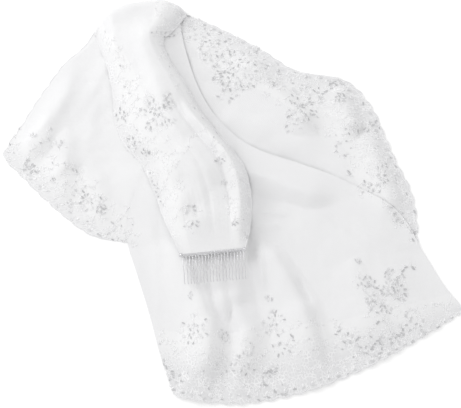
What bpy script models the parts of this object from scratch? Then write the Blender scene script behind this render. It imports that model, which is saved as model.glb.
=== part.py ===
"""A two-tier lace-edged bridal veil on a wire comb, folded as it lies on a flat surface.

The cloth is gathered on the comb, runs away from it as a soft bundle, turns over at
the far end and comes back underneath. The long tier lies inside the short tier all
the way, so the short tier is on top in the bundle and at the bottom of the pile.
X runs across the spread, Y away from the comb's teeth and Z up, in metres.
"""

from collections import namedtuple
from math import cos, exp, hypot, pi, radians, sin

import bpy
import bmesh
from mathutils import Matrix, Vector

# The veil as it lies, metres
SPREAD_WIDTH = 0.579
SPREAD_DEPTH = 0.519
PILE_HEIGHT = 0.045
CLOTH_WALL = 0.001
LACE_WALL = 0.0014

# From the middle of one layer to the middle of the next, and from cloth to lace at a seam
LAYER_SPACING = 0.0042
SEAM_GAP = 0.0003

# The lace edges
LACE_WIDTH = 0.055
HEM_LACE_DEPTH = 0.070
SCALLOP_PITCH = 0.030
SCALLOP_DEPTH = 0.003

# How far in from an edge, and from the turn, the folds have grown to their height, and
# the share of it that is left at the edge itself
EDGE_DROP_WIDTH = 0.035
TURN_DROP_WIDTH = 0.070
EDGE_LIFT = 0.2

# The share of a fold's height below which it has run out into the flat cloth
FOLD_FOOT = 0.01

# The long tier inside the bundle: narrower at each side, and less full
INNER_MARGIN = 0.012
INNER_SLACK = 0.15

# The long tier's lower leaf from the turn to its hem
LONG_DROP = 0.9 * SPREAD_DEPTH

# The wire comb: its place as shares of the spread, metres and degrees
COMB_X = 0.4595
COMB_Y = 0.3575
COMB_TURN = 5.4
COMB_WIDTH = 0.080
COMB_CLEARANCE = 0.0003
ROD_RADIUS = 0.0015
KNOB_RADIUS = 0.0026
TOOTH_PITCH = 0.004
TOOTH_LENGTH = 0.038
TOOTH_RADIUS = 0.0006
TOOTH_ARCH = 0.0015
WRAP_RADIUS = 0.0006

# One turn of the winding to each tooth from this share of the comb on, and the share of a
# pitch by which it leads, so that it passes midway between the teeth
WRAP_START = 0.42
WRAP_LEAD = 0.25

# How far in the rod lies from the cloth's end
ROD_INSET = 0.002

# The least sine between a lace strip's rows and its seam
LEAST_SQUARE = 0.1

# How far a layer feels the folds below it, as a share of the spread's width
DRAPE_REACH = 0.040

# How finely the cloth is divided
BUNDLE_ROWS = 15
TURN_ROWS = 5
SPREAD_ROWS = 21
CLOTH_COLUMNS = 14
LACE_COLUMNS = 3
ALL_COLUMNS = CLOTH_COLUMNS + 2 * LACE_COLUMNS
HEM_ROWS = 3
TOOTH_STEPS = 3
WRAP_STEPS = 7
KNOB_SIDES = 8
ROD_SIDES = 8
THIN_WIRE_SIDES = 6
CREASE_ANGLE = 50

# Across the cloth at each station: the two edges as shares of the spread, how far the
# middle bows away from the comb, and the lace at each edge as a share of its width
Station = namedtuple("Station", "left_x left_y right_x right_y bow left_lace right_lace")
COMB_LEFT_LACE = 0.25
COMB_RIGHT_LACE = 0.20

# From just past the comb to the turn at the far end
BUNDLE_STATIONS = [
    Station(0.354, 0.440, 0.541, 0.430, 0.000, 0.45, 0.45),
    Station(0.332, 0.507, 0.543, 0.510, 0.000, 0.60, 0.55),
    Station(0.303, 0.582, 0.524, 0.585, 0.000, 0.80, 0.50),
    Station(0.265, 0.632, 0.483, 0.646, 0.000, 0.90, 0.35),
    Station(0.243, 0.686, 0.434, 0.714, 0.000, 0.90, 0.20),
    Station(0.238, 0.751, 0.397, 0.789, 0.003, 0.70, 0.20),
    Station(0.227, 0.818, 0.360, 0.853, 0.010, 0.50, 0.20),
    Station(0.215, 0.862, 0.350, 0.895, 0.018, 0.30, 0.30),
    Station(0.207, 0.884, 0.376, 0.930, 0.026, 0.25, 0.55),
    Station(0.200, 0.902, 0.402, 0.966, 0.030, 0.25, 0.80),
]

# The short tier's lower leaf, from the turn to its hem
SHORT_STATIONS = [
    Station(0.200, 0.902, 0.402, 0.966, 0.030, 0.25, 0.80),
    Station(0.175, 0.873, 0.449, 0.948, 0.018, 0.20, 1.20),
    Station(0.133, 0.838, 0.505, 0.918, 0.010, 0.12, 1.25),
    Station(0.098, 0.795, 0.572, 0.877, 0.005, 0.12, 1.45),
    Station(0.070, 0.748, 0.646, 0.826, 0.000, 0.12, 1.85),
    Station(0.037, 0.686, 0.751, 0.802, 0.000, 0.12, 2.00),
    Station(0.009, 0.641, 0.808, 0.738, 0.000, 0.40, 1.80),
    Station(0.000, 0.606, 0.840, 0.655, 0.000, 0.90, 1.10),
    Station(0.037, 0.560, 0.864, 0.592, 0.000, 1.40, 1.15),
    Station(0.103, 0.488, 0.892, 0.527, 0.000, 1.50, 1.15),
    Station(0.186, 0.416, 0.905, 0.458, 0.000, 1.30, 1.00),
    Station(0.266, 0.397, 0.906, 0.388, 0.000, 0.90, 0.90),
]

# The long tier's lower leaf, from the turn to its hem
LONG_STATIONS = [
    Station(0.200, 0.902, 0.402, 0.966, 0.030, 0, 0),
    Station(0.220, 0.856, 0.415, 0.880, 0.015, 0, 0),
    Station(0.252, 0.776, 0.445, 0.776, 0.005, 0, 0),
    Station(0.279, 0.701, 0.489, 0.697, 0.000, 0, 0),
    Station(0.292, 0.627, 0.559, 0.632, 0.000, 0, 0),
    Station(0.286, 0.552, 0.662, 0.590, 0.000, 0, 0),
    Station(0.268, 0.478, 0.764, 0.545, 0.000, 0, 0),
    Station(0.264, 0.403, 0.871, 0.468, 0.000, 0, 0),
    Station(0.290, 0.313, 0.920, 0.376, -0.010, 0, 0),
    Station(0.319, 0.216, 0.964, 0.291, -0.036, 0, 0),
    Station(0.345, 0.117, 0.994, 0.246, -0.068, 0, 0),
    Station(0.376, 0.020, 1.000, 0.222, -0.098, 0, 0),
]

# Folds that lie across the spread: two ends as shares of the spread, the height as a
# share of the pile's and the half width as a share of the spread's width
Fold = namedtuple("Fold", "from_x from_y to_x to_y height width")

SHORT_FOLDS = [
    Fold(0.200, 0.840, 0.250, 0.545, 0.30, 0.038),
    Fold(0.150, 0.800, 0.060, 0.650, 0.32, 0.042),
    Fold(0.125, 0.650, 0.135, 0.510, 0.20, 0.026),
    Fold(0.205, 0.540, 0.215, 0.450, 0.16, 0.026),
    Fold(0.550, 0.830, 0.650, 0.700, 0.32, 0.040),
    Fold(0.750, 0.760, 0.765, 0.690, 0.30, 0.032),
    Fold(0.815, 0.640, 0.850, 0.510, 0.32, 0.036),
    Fold(0.500, 0.700, 0.680, 0.640, 0.22, 0.028),
]

LONG_FOLDS = [
    Fold(0.500, 0.600, 0.630, 0.560, 0.42, 0.036),
    Fold(0.630, 0.560, 0.830, 0.440, 0.36, 0.044),
    Fold(0.640, 0.470, 0.850, 0.310, 0.34, 0.085),
    Fold(0.565, 0.370, 0.630, 0.060, 0.32, 0.034),
    Fold(0.700, 0.330, 0.785, 0.120, 0.34, 0.038),
    Fold(0.340, 0.370, 0.410, 0.060, 0.32, 0.036),
    Fold(0.505, 0.270, 0.530, 0.030, 0.28, 0.028),
    Fold(0.880, 0.300, 0.925, 0.200, 0.22, 0.028),
]

# Folds that run along the bundle: place across it at the comb and at the turn, the
# height as a share of the bundle's and the half width as a share across it
BundleFold = namedtuple("BundleFold", "at_comb at_turn height width")

BUNDLE_FOLDS = [
    BundleFold(0.27, 0.34, 0.70, 0.20),
    BundleFold(0.63, 0.65, 0.66, 0.080),
    BundleFold(0.86, 0.83, 0.74, 0.095),
]

# The bundle's height along its length, from the comb to the turn, as a share of the pile's
BUNDLE_RISE = [0.10, 0.42, 0.58, 0.60, 0.56, 0.50, 0.44, 0.36, 0.28, 0.26]

# The bundle is this full between its folds, and flattens to this height from this share
# of its length on
BUNDLE_BODY = 0.45
TURN_BODY = 0.78
FLATTENS_FROM = 0.6

# Shares across the bundle over which its two edges rise
LEFT_EDGE_RISE = 0.22
RIGHT_EDGE_RISE = 0.13

# Small gathers at the comb, metres, and the share of the bundle's length that they reach
GATHER_DEPTH = 0.0015
GATHER_COUNT = 5
GATHER_REACH = 0.5

# The share of the bundle's length over which it comes down level with the comb's rod
LEVEL_REACH = 0.2

Layer = namedtuple("Layer", "points normals")


def clear_scene():
    for item in list(bpy.data.objects):
        bpy.data.objects.remove(item)


def smooth_step(value):
    value = min(1.0, max(0.0, value))
    return value * value * (3 - 2 * value)


def along_table(table, share):
    """One row's values at a share of the way through a table, on a smooth curve."""
    place = share * (len(table) - 1)
    first = min(int(place), len(table) - 2)
    part = place - first
    rows = [table[min(max(first + step, 0), len(table) - 1)] for step in (-1, 0, 1, 2)]
    if not isinstance(table[0], tuple):
        rows = [(row,) for row in rows]
    values = []
    for before, start, end, after in zip(*rows):
        slope_in = (end - before) / 2
        slope_out = (after - start) / 2
        rise = end - start
        values.append(
            start
            + slope_in * part
            + (3 * rise - 2 * slope_in - slope_out) * part ** 2
            + (slope_in + slope_out - 2 * rise) * part ** 3
        )
    return values


def from_the_comb(stations):
    """The bundle's stations, led by one that is as wide as the comb and lies along it."""
    half_x = COMB_WIDTH / 2 * cos(radians(COMB_TURN)) / SPREAD_WIDTH
    half_y = COMB_WIDTH / 2 * sin(radians(COMB_TURN)) / SPREAD_DEPTH
    first = Station(
        COMB_X - half_x, COMB_Y - half_y, COMB_X + half_x, COMB_Y + half_y,
        0.0, COMB_LEFT_LACE, COMB_RIGHT_LACE,
    )
    return [first, *stations]


def plan_row(stations, share, margin, laced):
    """Places in plan across the cloth, with the lace columns at both edges if it is laced."""
    left_x, left_y, right_x, right_y, bow, left_lace, right_lace = along_table(stations, share)
    left = Vector((left_x * SPREAD_WIDTH, left_y * SPREAD_DEPTH))
    right = Vector((right_x * SPREAD_WIDTH, right_y * SPREAD_DEPTH))
    across = right - left
    inset = margin / across.length
    if laced:
        left_share = left_lace * LACE_WIDTH / across.length
        right_share = right_lace * LACE_WIDTH / across.length
        middle = 1 - left_share - right_share
        places = [left_share * column / LACE_COLUMNS for column in range(LACE_COLUMNS)]
        places += [left_share + middle * column / CLOTH_COLUMNS for column in range(CLOTH_COLUMNS + 1)]
        places += [1 - right_share * column / LACE_COLUMNS for column in reversed(range(LACE_COLUMNS))]
    else:
        places = [column / ALL_COLUMNS for column in range(ALL_COLUMNS + 1)]
    row = []
    for place in places:
        place = inset + (1 - 2 * inset) * place
        point = left + across * place
        point.y += bow * SPREAD_DEPTH * 4 * place * (1 - place)
        row.append((point.x, point.y, place))
    return row


def fold_height(folds, x, y):
    """Height of the cloth over its lowest level where folds cross the spread."""
    height = 0.0
    for fold in folds:
        start = Vector((fold.from_x * SPREAD_WIDTH, fold.from_y * SPREAD_DEPTH))
        run = Vector((fold.to_x * SPREAD_WIDTH, fold.to_y * SPREAD_DEPTH)) - start
        offset = Vector((x, y)) - start
        share = min(1.0, max(0.0, offset.dot(run) / run.length_squared))
        away = (offset - run * share).length / (fold.width * SPREAD_WIDTH)
        height = max(height, fold.height * PILE_HEIGHT * (exp(-away * away) - FOLD_FOOT))
    return height


def edge_drop(x, y, outline):
    """How much of a fold is left near the edges of the cloth, which lie down."""
    nearest = min(hypot(edge_x - x, edge_y - y) for edge_x, edge_y in outline)
    return EDGE_LIFT + (1 - EDGE_LIFT) * smooth_step(nearest / EDGE_DROP_WIDTH)


def rest_height(x, y, below):
    """The highest point of what lies below, near a place, so that no fold pokes through."""
    ground = CLOTH_WALL / 2 - LAYER_SPACING
    height = ground
    reach = DRAPE_REACH * SPREAD_WIDTH
    for point in below:
        if abs(point.x - x) < 2 * reach and abs(point.y - y) < 2 * reach and point.z > height:
            slope = 1 - smooth_step(hypot(point.x - x, point.y - y) / reach - 1)
            height = max(height, ground + (point.z - ground) * slope)
    return height


def spread_leaf(stations, folds, shares, below, margin, laced):
    """A leaf that lies spread out, draped over the points below it."""
    rows = [plan_row(stations, share, margin * (1 - share), laced) for share in shares]
    outline = [(x, y) for x, y, place in rows[-1]]
    for row in rows:
        outline += [row[0][:2], row[-1][:2]]
    leaf = []
    for share, row in zip(shares, rows):
        turn_drop = smooth_step(share * SPREAD_DEPTH / TURN_DROP_WIDTH)
        points = []
        for x, y, place in row:
            own = fold_height(folds, x, y) * edge_drop(x, y, outline) * turn_drop
            floor = rest_height(x, y, below) + LAYER_SPACING
            points.append(Vector((x, y, max(floor, CLOTH_WALL / 2 + own))))
        leaf.append(points)
    return leaf


def bundle_height(share, place):
    """Height of the bundle over what it lies on, at a place along and across it."""
    rise = along_table(BUNDLE_RISE, share)[0] * PILE_HEIGHT
    body = 0.0
    for fold in BUNDLE_FOLDS:
        centre = fold.at_comb + (fold.at_turn - fold.at_comb) * share
        away = (place - centre) / fold.width
        body = max(body, fold.height * exp(-away * away))
    body = BUNDLE_BODY + (1 - BUNDLE_BODY) * body
    body += (TURN_BODY - body) * smooth_step((share - FLATTENS_FROM) / (1 - FLATTENS_FROM))
    gathers = GATHER_DEPTH * sin(2 * pi * GATHER_COUNT * place)
    gathers *= smooth_step(share / LEVEL_REACH) * (1 - smooth_step(share / GATHER_REACH))
    left_edge = smooth_step(place / LEFT_EDGE_RISE)
    right_edge = smooth_step((1 - place) / RIGHT_EDGE_RISE)
    return (rise * body + gathers) * left_edge * right_edge


def bundle_leaf(below, layer, margin, laced):
    """A leaf of the bundle, level and straight at the comb and full above it.

    Layer 1 is the inner one and layer 2 lies over it.
    """
    fullness = 1 - INNER_SLACK * (2 - layer)
    stations = from_the_comb(BUNDLE_STATIONS)
    leaf = []
    for index in range(BUNDLE_ROWS + 1):
        share = index / BUNDLE_ROWS
        points = []
        for x, y, place in plan_row(stations, share, margin, laced):
            base = rest_height(x, y, below) + LAYER_SPACING * layer
            base += bundle_height(share, place) * fullness
            points.append(Vector((x, y, base)))
        leaf.append(points)
    return leaf


def level_at_comb(leaf, height):
    """Brings the gathered end to one height, so that it lies flat along the rod."""
    for index, points in enumerate(leaf):
        settle = 1 - smooth_step(index / BUNDLE_ROWS / LEVEL_REACH)
        for point in points:
            point.z += (height - point.z) * settle


def turn_rows(upper, lower):
    """The half round turn that joins the bundle's last row to the first row below it."""
    along = upper[-1] - upper[0]
    outward = Vector((-along.y, along.x, 0)).normalized()
    rows = []
    for index in range(1, TURN_ROWS):
        angle = pi * index / TURN_ROWS
        row = []
        for high, low in zip(upper, lower):
            radius = (high.z - low.z) / 2
            centre = (high + low) / 2
            row.append(centre + outward * radius * sin(angle) + Vector((0, 0, radius * cos(angle))))
        rows.append(row)
    return rows


def with_normals(points):
    """The cloth's middle surface with the direction of its thickness at each point."""
    normals = []
    for index, row in enumerate(points):
        before = points[max(index - 1, 0)]
        after = points[min(index + 1, len(points) - 1)]
        normal_row = []
        for column in range(len(row)):
            across = row[min(column + 1, len(row) - 1)] - row[max(column - 1, 0)]
            along = after[column] - before[column]
            normal_row.append(across.cross(along).normalized())
        normals.append(normal_row)
    return Layer(points, normals)


def part_of(layer, rows, columns):
    points = [[layer.points[row][column] for column in columns] for row in rows]
    normals = [[layer.normals[row][column] for column in columns] for row in rows]
    return Layer(points, normals)


def transposed(layer):
    return Layer([list(row) for row in zip(*layer.points)], [list(row) for row in zip(*layer.normals)])


def seam_point(points, index):
    """A point of the strip's first row, moved clear of the cloth that it is sewn to."""
    seam = points[0]
    run = (seam[min(index + 1, len(seam) - 1)] - seam[max(index - 1, 0)]).normalized()
    inward = (points[1][index] - seam[index]).normalized()
    square = (inward - run * inward.dot(run)).length
    return seam[index] + inward * SEAM_GAP / max(square, LEAST_SQUARE)


def lace_strip(layer):
    """A strip whose first row lies along the cloth and whose last row is scalloped."""
    points, normals = [], []
    for row, normal_row in zip(layer.points, layer.normals):
        fine, fine_normals = [row[0]], [normal_row[0]]
        for index in range(1, len(row)):
            fine += [(row[index - 1] + row[index]) / 2, row[index]]
            middle = (normal_row[index - 1] + normal_row[index]).normalized()
            fine_normals += [middle, normal_row[index]]
        points.append(fine)
        normals.append(fine_normals)
    points[0] = [seam_point(points, index) for index in range(len(points[0]))]
    travelled = 0.0
    edge, inside = points[-1], points[-2]
    scalloped = []
    for index, point in enumerate(edge):
        if index:
            travelled += (point - edge[index - 1]).length
        outward = point - inside[index]
        outward.z = 0
        bulge = abs(sin(pi * travelled / SCALLOP_PITCH)) - 1
        limit = min(SCALLOP_DEPTH, outward.length / 2)
        scalloped.append(point + outward.normalized() * limit * bulge)
    points[-1] = scalloped
    return Layer(points, normals)


def cloth_solid(name, layer, wall, material):
    """A closed wall of cloth round a middle surface."""
    mesh = bpy.data.meshes.new(name)
    form = bmesh.new()
    sides = []
    for sign in (1, -1):
        side = []
        for row, normal_row in zip(layer.points, layer.normals):
            places = [point + normal * sign * wall / 2 for point, normal in zip(row, normal_row)]
            side.append([form.verts.new((p.x, p.y, max(p.z, 0.0))) for p in places])
        sides.append(side)
    top, bottom = sides
    last_row, last_column = len(top) - 1, len(top[0]) - 1
    for row in range(last_row):
        for column in range(last_column):
            for side, turn in ((top, 1), (bottom, -1)):
                corners = [side[row][column], side[row][column + 1],
                           side[row + 1][column + 1], side[row + 1][column]]
                for triangle in ((0, 1, 2), (0, 2, 3)):
                    form.faces.new([corners[corner] for corner in triangle][::turn])
    rim = [(0, column) for column in range(last_column)]
    rim += [(row, last_column) for row in range(last_row)]
    rim += [(last_row, column) for column in range(last_column, 0, -1)]
    rim += [(row, 0) for row in range(last_row, 0, -1)]
    for index, (row, column) in enumerate(rim):
        next_row, next_column = rim[(index + 1) % len(rim)]
        form.faces.new((top[next_row][next_column], top[row][column], bottom[row][column]))
        form.faces.new((top[next_row][next_column], bottom[row][column], bottom[next_row][next_column]))
    bmesh.ops.recalc_face_normals(form, faces=form.faces)
    form.to_mesh(mesh)
    form.free()
    mesh.shade_smooth()
    mesh.set_sharp_from_angle(angle=radians(CREASE_ANGLE))
    mesh.materials.append(material)
    solid = bpy.data.objects.new(name, mesh)
    bpy.context.collection.objects.link(solid)
    return solid


def plain_material(name, colour, roughness, metallic=0.0):
    material = bpy.data.materials.new(name)
    material.use_nodes = True
    shader = material.node_tree.nodes["Principled BSDF"]
    shader.inputs["Base Color"].default_value = (*colour, 1)
    shader.inputs["Roughness"].default_value = roughness
    shader.inputs["Metallic"].default_value = metallic
    return material


def build_cloth(tulle, lace):
    """Both tiers, laid one on another from the bottom of the pile up."""
    spread_shares = [index / SPREAD_ROWS for index in range(SPREAD_ROWS + 1)]
    hem_start = 1 - HEM_LACE_DEPTH / LONG_DROP
    cloth_rows = SPREAD_ROWS - HEM_ROWS
    long_shares = [hem_start * index / cloth_rows for index in range(cloth_rows)]
    long_shares += [hem_start + (1 - hem_start) * index / HEM_ROWS for index in range(HEM_ROWS + 1)]

    short_lower = spread_leaf(SHORT_STATIONS, SHORT_FOLDS, spread_shares, [], 0.0, True)
    below = [point for row in short_lower for point in row]
    long_lower = spread_leaf(LONG_STATIONS, LONG_FOLDS, long_shares, below, INNER_MARGIN, False)
    below += [point for row in long_lower for point in row]
    long_upper = bundle_leaf(below, 1, INNER_MARGIN, False)
    short_upper = bundle_leaf(below, 2, 0.0, True)

    comb_level = max(point.z for point in short_upper[0])
    layer_at_comb = (CLOTH_WALL + LACE_WALL) / 2 + SEAM_GAP
    level_at_comb(short_upper, comb_level)
    level_at_comb(long_upper, comb_level - layer_at_comb)

    short = with_normals(short_upper + turn_rows(short_upper[-1], short_lower[0]) + short_lower)
    long = with_normals(long_upper + turn_rows(long_upper[-1], long_lower[0]) + long_lower)
    short_rows = range(len(short.points))
    left_seam = LACE_COLUMNS
    right_seam = LACE_COLUMNS + CLOTH_COLUMNS
    hem_row = len(long.points) - 1 - HEM_ROWS
    long_columns = range(ALL_COLUMNS + 1)

    cloth = part_of(short, short_rows, range(left_seam, right_seam + 1))
    cloth_solid("short_tier", cloth, CLOTH_WALL, tulle)
    cloth = part_of(long, range(hem_row + 1), long_columns)
    cloth_solid("long_tier", cloth, CLOTH_WALL, tulle)
    left_edge = part_of(short, short_rows, range(left_seam, -1, -1))
    cloth_solid("left_lace_edge", lace_strip(transposed(left_edge)), LACE_WALL, lace)
    right_edge = part_of(short, short_rows, range(right_seam, right_seam + LACE_COLUMNS + 1))
    cloth_solid("right_lace_edge", lace_strip(transposed(right_edge)), LACE_WALL, lace)
    hem = part_of(long, range(hem_row, len(long.points)), long_columns)
    cloth_solid("hem_lace", lace_strip(hem), LACE_WALL, lace)
    return short_upper[0], below


def comb_seat(bundle_end):
    """The middle of the rod, its direction and the way the teeth point, over the cloth's end."""
    left, right = bundle_end[0], bundle_end[-1]
    along = (right - left).normalized()
    teeth_way = Vector((along.y, -along.x, 0))
    middle = (left + right) / 2 - teeth_way * ROD_INSET
    middle.z = left.z + LACE_WALL / 2 + COMB_CLEARANCE + ROD_RADIUS + WRAP_RADIUS
    return middle, along, teeth_way


def wire(name, routes, radius, sides):
    """Round wires with closed ends, swept along their routes."""
    curve = bpy.data.curves.new(name, "CURVE")
    curve.dimensions = "3D"
    curve.bevel_depth = radius
    curve.bevel_resolution = sides // 2 - 2
    curve.use_fill_caps = True
    for route in routes:
        spline = curve.splines.new("POLY")
        spline.points.add(len(route) - 1)
        for point, place in zip(spline.points, route):
            point.co = (*place, 1)
    swept = bpy.data.objects.new(name, curve)
    mesh = bpy.data.meshes.new_from_object(swept)
    bpy.data.objects.remove(swept)
    item = bpy.data.objects.new(name, mesh)
    bpy.context.collection.objects.link(item)
    return item


def join_wires(body, others):
    """Solders other pieces to a body, which stays one solid."""
    for other in others:
        other.hide_render = True
        other.display_type = "WIRE"
        union = body.modifiers.new(other.name, "BOOLEAN")
        union.operation = "UNION"
        union.solver = "EXACT"
        union.use_self = True
        union.object = other


def build_comb(bundle_end, below, silver):
    """The wire comb: a rod with a knob, its winding and its teeth, soldered into one."""
    middle, along, teeth_way = comb_seat(bundle_end)
    up = Vector((0, 0, 1))
    start = middle - along * COMB_WIDTH / 2
    rod = wire("comb", [[start, start + along * COMB_WIDTH]], ROD_RADIUS, ROD_SIDES)

    tooth_count = int(COMB_WIDTH / TOOTH_PITCH)
    first = (COMB_WIDTH - (tooth_count - 1) * TOOTH_PITCH) / 2
    roots = [start + along * (first + index * TOOTH_PITCH) for index in range(tooth_count)]
    tips = [root + teeth_way * TOOTH_LENGTH for root in roots]
    stand_off = LACE_WALL + COMB_CLEARANCE + TOOTH_RADIUS
    tip_level = max(rest_height(tip.x, tip.y, below) for tip in tips) + stand_off
    routes = []
    for root, tip in zip(roots, tips):
        route = []
        for step in range(TOOTH_STEPS + 1):
            share = step / TOOTH_STEPS
            place = root.lerp(tip, share)
            place.z = root.z + (tip_level - root.z) * share + TOOTH_ARCH * sin(pi * share)
            route.append(place)
        routes.append(route)
    teeth = wire("teeth", routes, TOOTH_RADIUS, THIN_WIRE_SIDES)

    first_turn = int(tooth_count * WRAP_START)
    route = []
    for step in range((tooth_count - 1 - first_turn) * WRAP_STEPS + 1):
        angle = 2 * pi * step / WRAP_STEPS
        offset = (up * cos(angle) + teeth_way * sin(angle)) * ROD_RADIUS
        distance = first + TOOTH_PITCH * (first_turn + WRAP_LEAD + step / WRAP_STEPS)
        route.append(start + along * distance + offset)
    winding = wire("winding", [route], WRAP_RADIUS, THIN_WIRE_SIDES)

    knobs = []
    for index, place in enumerate((start, start + along * COMB_WIDTH)):
        bpy.ops.mesh.primitive_uv_sphere_add(
            segments=KNOB_SIDES, ring_count=KNOB_SIDES // 2, radius=KNOB_RADIUS, location=place
        )
        knob = bpy.context.object
        knob.data.transform(knob.matrix_world)
        knob.location = (0, 0, 0)
        knob.name = f"knob_{index + 1}"
        knobs.append(knob)
    join_wires(rod, [teeth, winding, *knobs])
    rod.data.materials.append(silver)


def centre_on_ground():
    """Moves everything so that the origin is under the middle of the whole veil."""
    places = [vertex.co for item in bpy.data.objects for vertex in item.data.vertices]
    middle_x = (min(place.x for place in places) + max(place.x for place in places)) / 2
    middle_y = (min(place.y for place in places) + max(place.y for place in places)) / 2
    for item in bpy.data.objects:
        item.data.transform(Matrix.Translation((-middle_x, -middle_y, 0)))


def main():
    clear_scene()
    tulle = plain_material("tulle", (0.92, 0.92, 0.93), 0.85)
    lace = plain_material("lace", (0.88, 0.88, 0.89), 0.70)
    silver = plain_material("silver", (0.75, 0.75, 0.76), 0.25, 1.0)
    bundle_end, below = build_cloth(tulle, lace)
    build_comb(bundle_end, below, silver)
    centre_on_ground()


main()
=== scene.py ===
from collections import namedtuple
from math import cos, hypot, pi, radians, sin

import bpy
import numpy as np
from mathutils import Matrix, Vector
from mathutils.bvhtree import BVHTree


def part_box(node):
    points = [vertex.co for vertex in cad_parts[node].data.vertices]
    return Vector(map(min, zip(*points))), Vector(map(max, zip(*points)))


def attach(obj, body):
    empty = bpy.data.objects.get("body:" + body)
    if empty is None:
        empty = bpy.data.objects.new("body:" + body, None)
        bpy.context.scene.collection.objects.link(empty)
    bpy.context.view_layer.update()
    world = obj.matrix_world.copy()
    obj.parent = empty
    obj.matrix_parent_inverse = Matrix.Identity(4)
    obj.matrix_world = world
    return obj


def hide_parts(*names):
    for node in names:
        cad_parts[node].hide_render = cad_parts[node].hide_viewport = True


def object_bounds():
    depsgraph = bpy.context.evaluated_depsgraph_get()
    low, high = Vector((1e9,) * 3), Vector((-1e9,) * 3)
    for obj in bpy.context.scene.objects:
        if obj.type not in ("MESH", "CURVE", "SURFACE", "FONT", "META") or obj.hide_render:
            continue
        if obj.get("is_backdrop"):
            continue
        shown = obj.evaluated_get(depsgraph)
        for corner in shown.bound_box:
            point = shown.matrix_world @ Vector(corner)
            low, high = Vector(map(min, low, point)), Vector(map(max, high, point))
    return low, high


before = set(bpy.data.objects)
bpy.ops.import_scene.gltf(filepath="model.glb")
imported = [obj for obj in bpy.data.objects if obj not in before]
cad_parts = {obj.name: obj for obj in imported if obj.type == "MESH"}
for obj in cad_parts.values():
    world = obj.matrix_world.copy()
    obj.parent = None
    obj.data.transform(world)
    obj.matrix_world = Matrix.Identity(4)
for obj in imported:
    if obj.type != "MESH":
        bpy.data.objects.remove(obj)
cad_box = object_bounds()

# The veil as it lies, metres
SPREAD_WIDTH = 0.579
SPREAD_DEPTH = 0.519
PILE_HEIGHT = 0.045
MIDDLE_X = 0.289634
MIDDLE_Y = 0.257091
CLOTH_WALL = 0.0005
LACE_WALL = 0.0006
CAD_CLOTH_WALL = 0.001
CAD_LACE_WALL = 0.0014
LAYER_SPACING = 0.0042
SEAM_GAP = 0.0003

# The lace edges
LACE_WIDTH = 0.055
HEM_LACE_DEPTH = 0.070
SCALLOP_PITCH = 0.019
SCALLOP_DEPTH = 0.0032
SCALLOP_ROUNDNESS = 0.7
BUNDLE_SCALLOP = 0.2

# How the folds grow in from the edges and from the turn
EDGE_DROP_WIDTH = 0.035
TURN_DROP_WIDTH = 0.070
RAW_TURN_WIDTH = 0.058
EDGE_LIFT = 0.2
FOLD_FOOT = 0.01
INNER_MARGIN = 0.012
INNER_SLACK = 0.15
HEM_SKEW = 0.5
LONG_DROP = 0.9 * SPREAD_DEPTH

# The wire comb
COMB_X = 0.4595
COMB_Y = 0.3575
COMB_TURN = 5.4
COMB_WIDTH = 0.080
COMB_LEVEL = 0.0262
ROD_RADIUS = 0.0015
KNOB_RADIUS = 0.0026
TOOTH_PITCH = 0.004
TOOTH_LENGTH = 0.038
TOOTH_RADIUS = 0.00043
TOOTH_ARCH = 0.0015
TOOTH_WAVE = 0.0003
TOOTH_LEAN = 0.0005
TOOTH_CUT = -0.0006, 0.0004
TOOTH_STEPS = 16
TIP_RISE = 0.0125
ROD_STEPS = 20
WRAP_RADIUS = 0.0006
WRAP_START = 0.42
WRAP_LEAD = 0.25
WRAP_STEPS = 16
ROD_INSET = 0.002

DRAPE_REACH = 0.016
DRAPE_BLUR = 2
GRID_CELL = 0.003
PILE_MARGIN = 30

# The outer edge of the bundle lies down on the cloth below it, over this width
EDGE_ROLL = 0.014
LEFT_ROLL = 0.040
ROLL_NARROWS_FROM = 0.6
ROLL_NARROWS_OVER = 0.25
EDGE_REST = 0.18
RAW_REST = 0.08

# A fold falls away more steeply on the side to the left of its own run, and melts into
# the cloth round it over this height
FALL = 1.5
MELT = 0.003
BODY_MELT = 0.08

# How finely the cloth is divided
BUNDLE_ROWS = 150
TURN_ROWS = 14
SPREAD_ROWS = 150
CLOTH_COLUMNS = 116
LACE_COLUMNS = 22
ALL_COLUMNS = CLOTH_COLUMNS + 2 * LACE_COLUMNS
HEM_ROWS = 24
SCALLOP_GROWTH_ROWS = 20
SMOOTH_ANGLE = radians(50)

Station = namedtuple("Station", "left_x left_y right_x right_y bow left_lace right_lace")
COMB_LEFT_LACE = 0.25
COMB_RIGHT_LACE = 0.20

# From just past the comb to the turn at the far end
BUNDLE_STATIONS = [Station(*row) for row in (
    (0.354, 0.44, 0.541, 0.43, 0, 0.45, 0.45),
    (0.332, 0.507, 0.543, 0.51, 0, 0.6, 0.55),
    (0.303, 0.582, 0.524, 0.585, 0, 0.8, 0.5),
    (0.265, 0.632, 0.483, 0.646, 0, 0.9, 0.35),
    (0.243, 0.686, 0.434, 0.714, 0, 0.9, 0.2),
    (0.238, 0.751, 0.397, 0.789, 0.003, 0.7, 0.2),
    (0.227, 0.818, 0.36, 0.853, 0.01, 0.5, 0.2),
    (0.215, 0.862, 0.35, 0.895, 0.018, 0.3, 0.3),
    (0.203, 0.896, 0.376, 0.93, 0.026, 0.25, 0.55),
    (0.194, 0.922, 0.402, 0.968, 0.03, 0.25, 0.8),
)]

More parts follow.
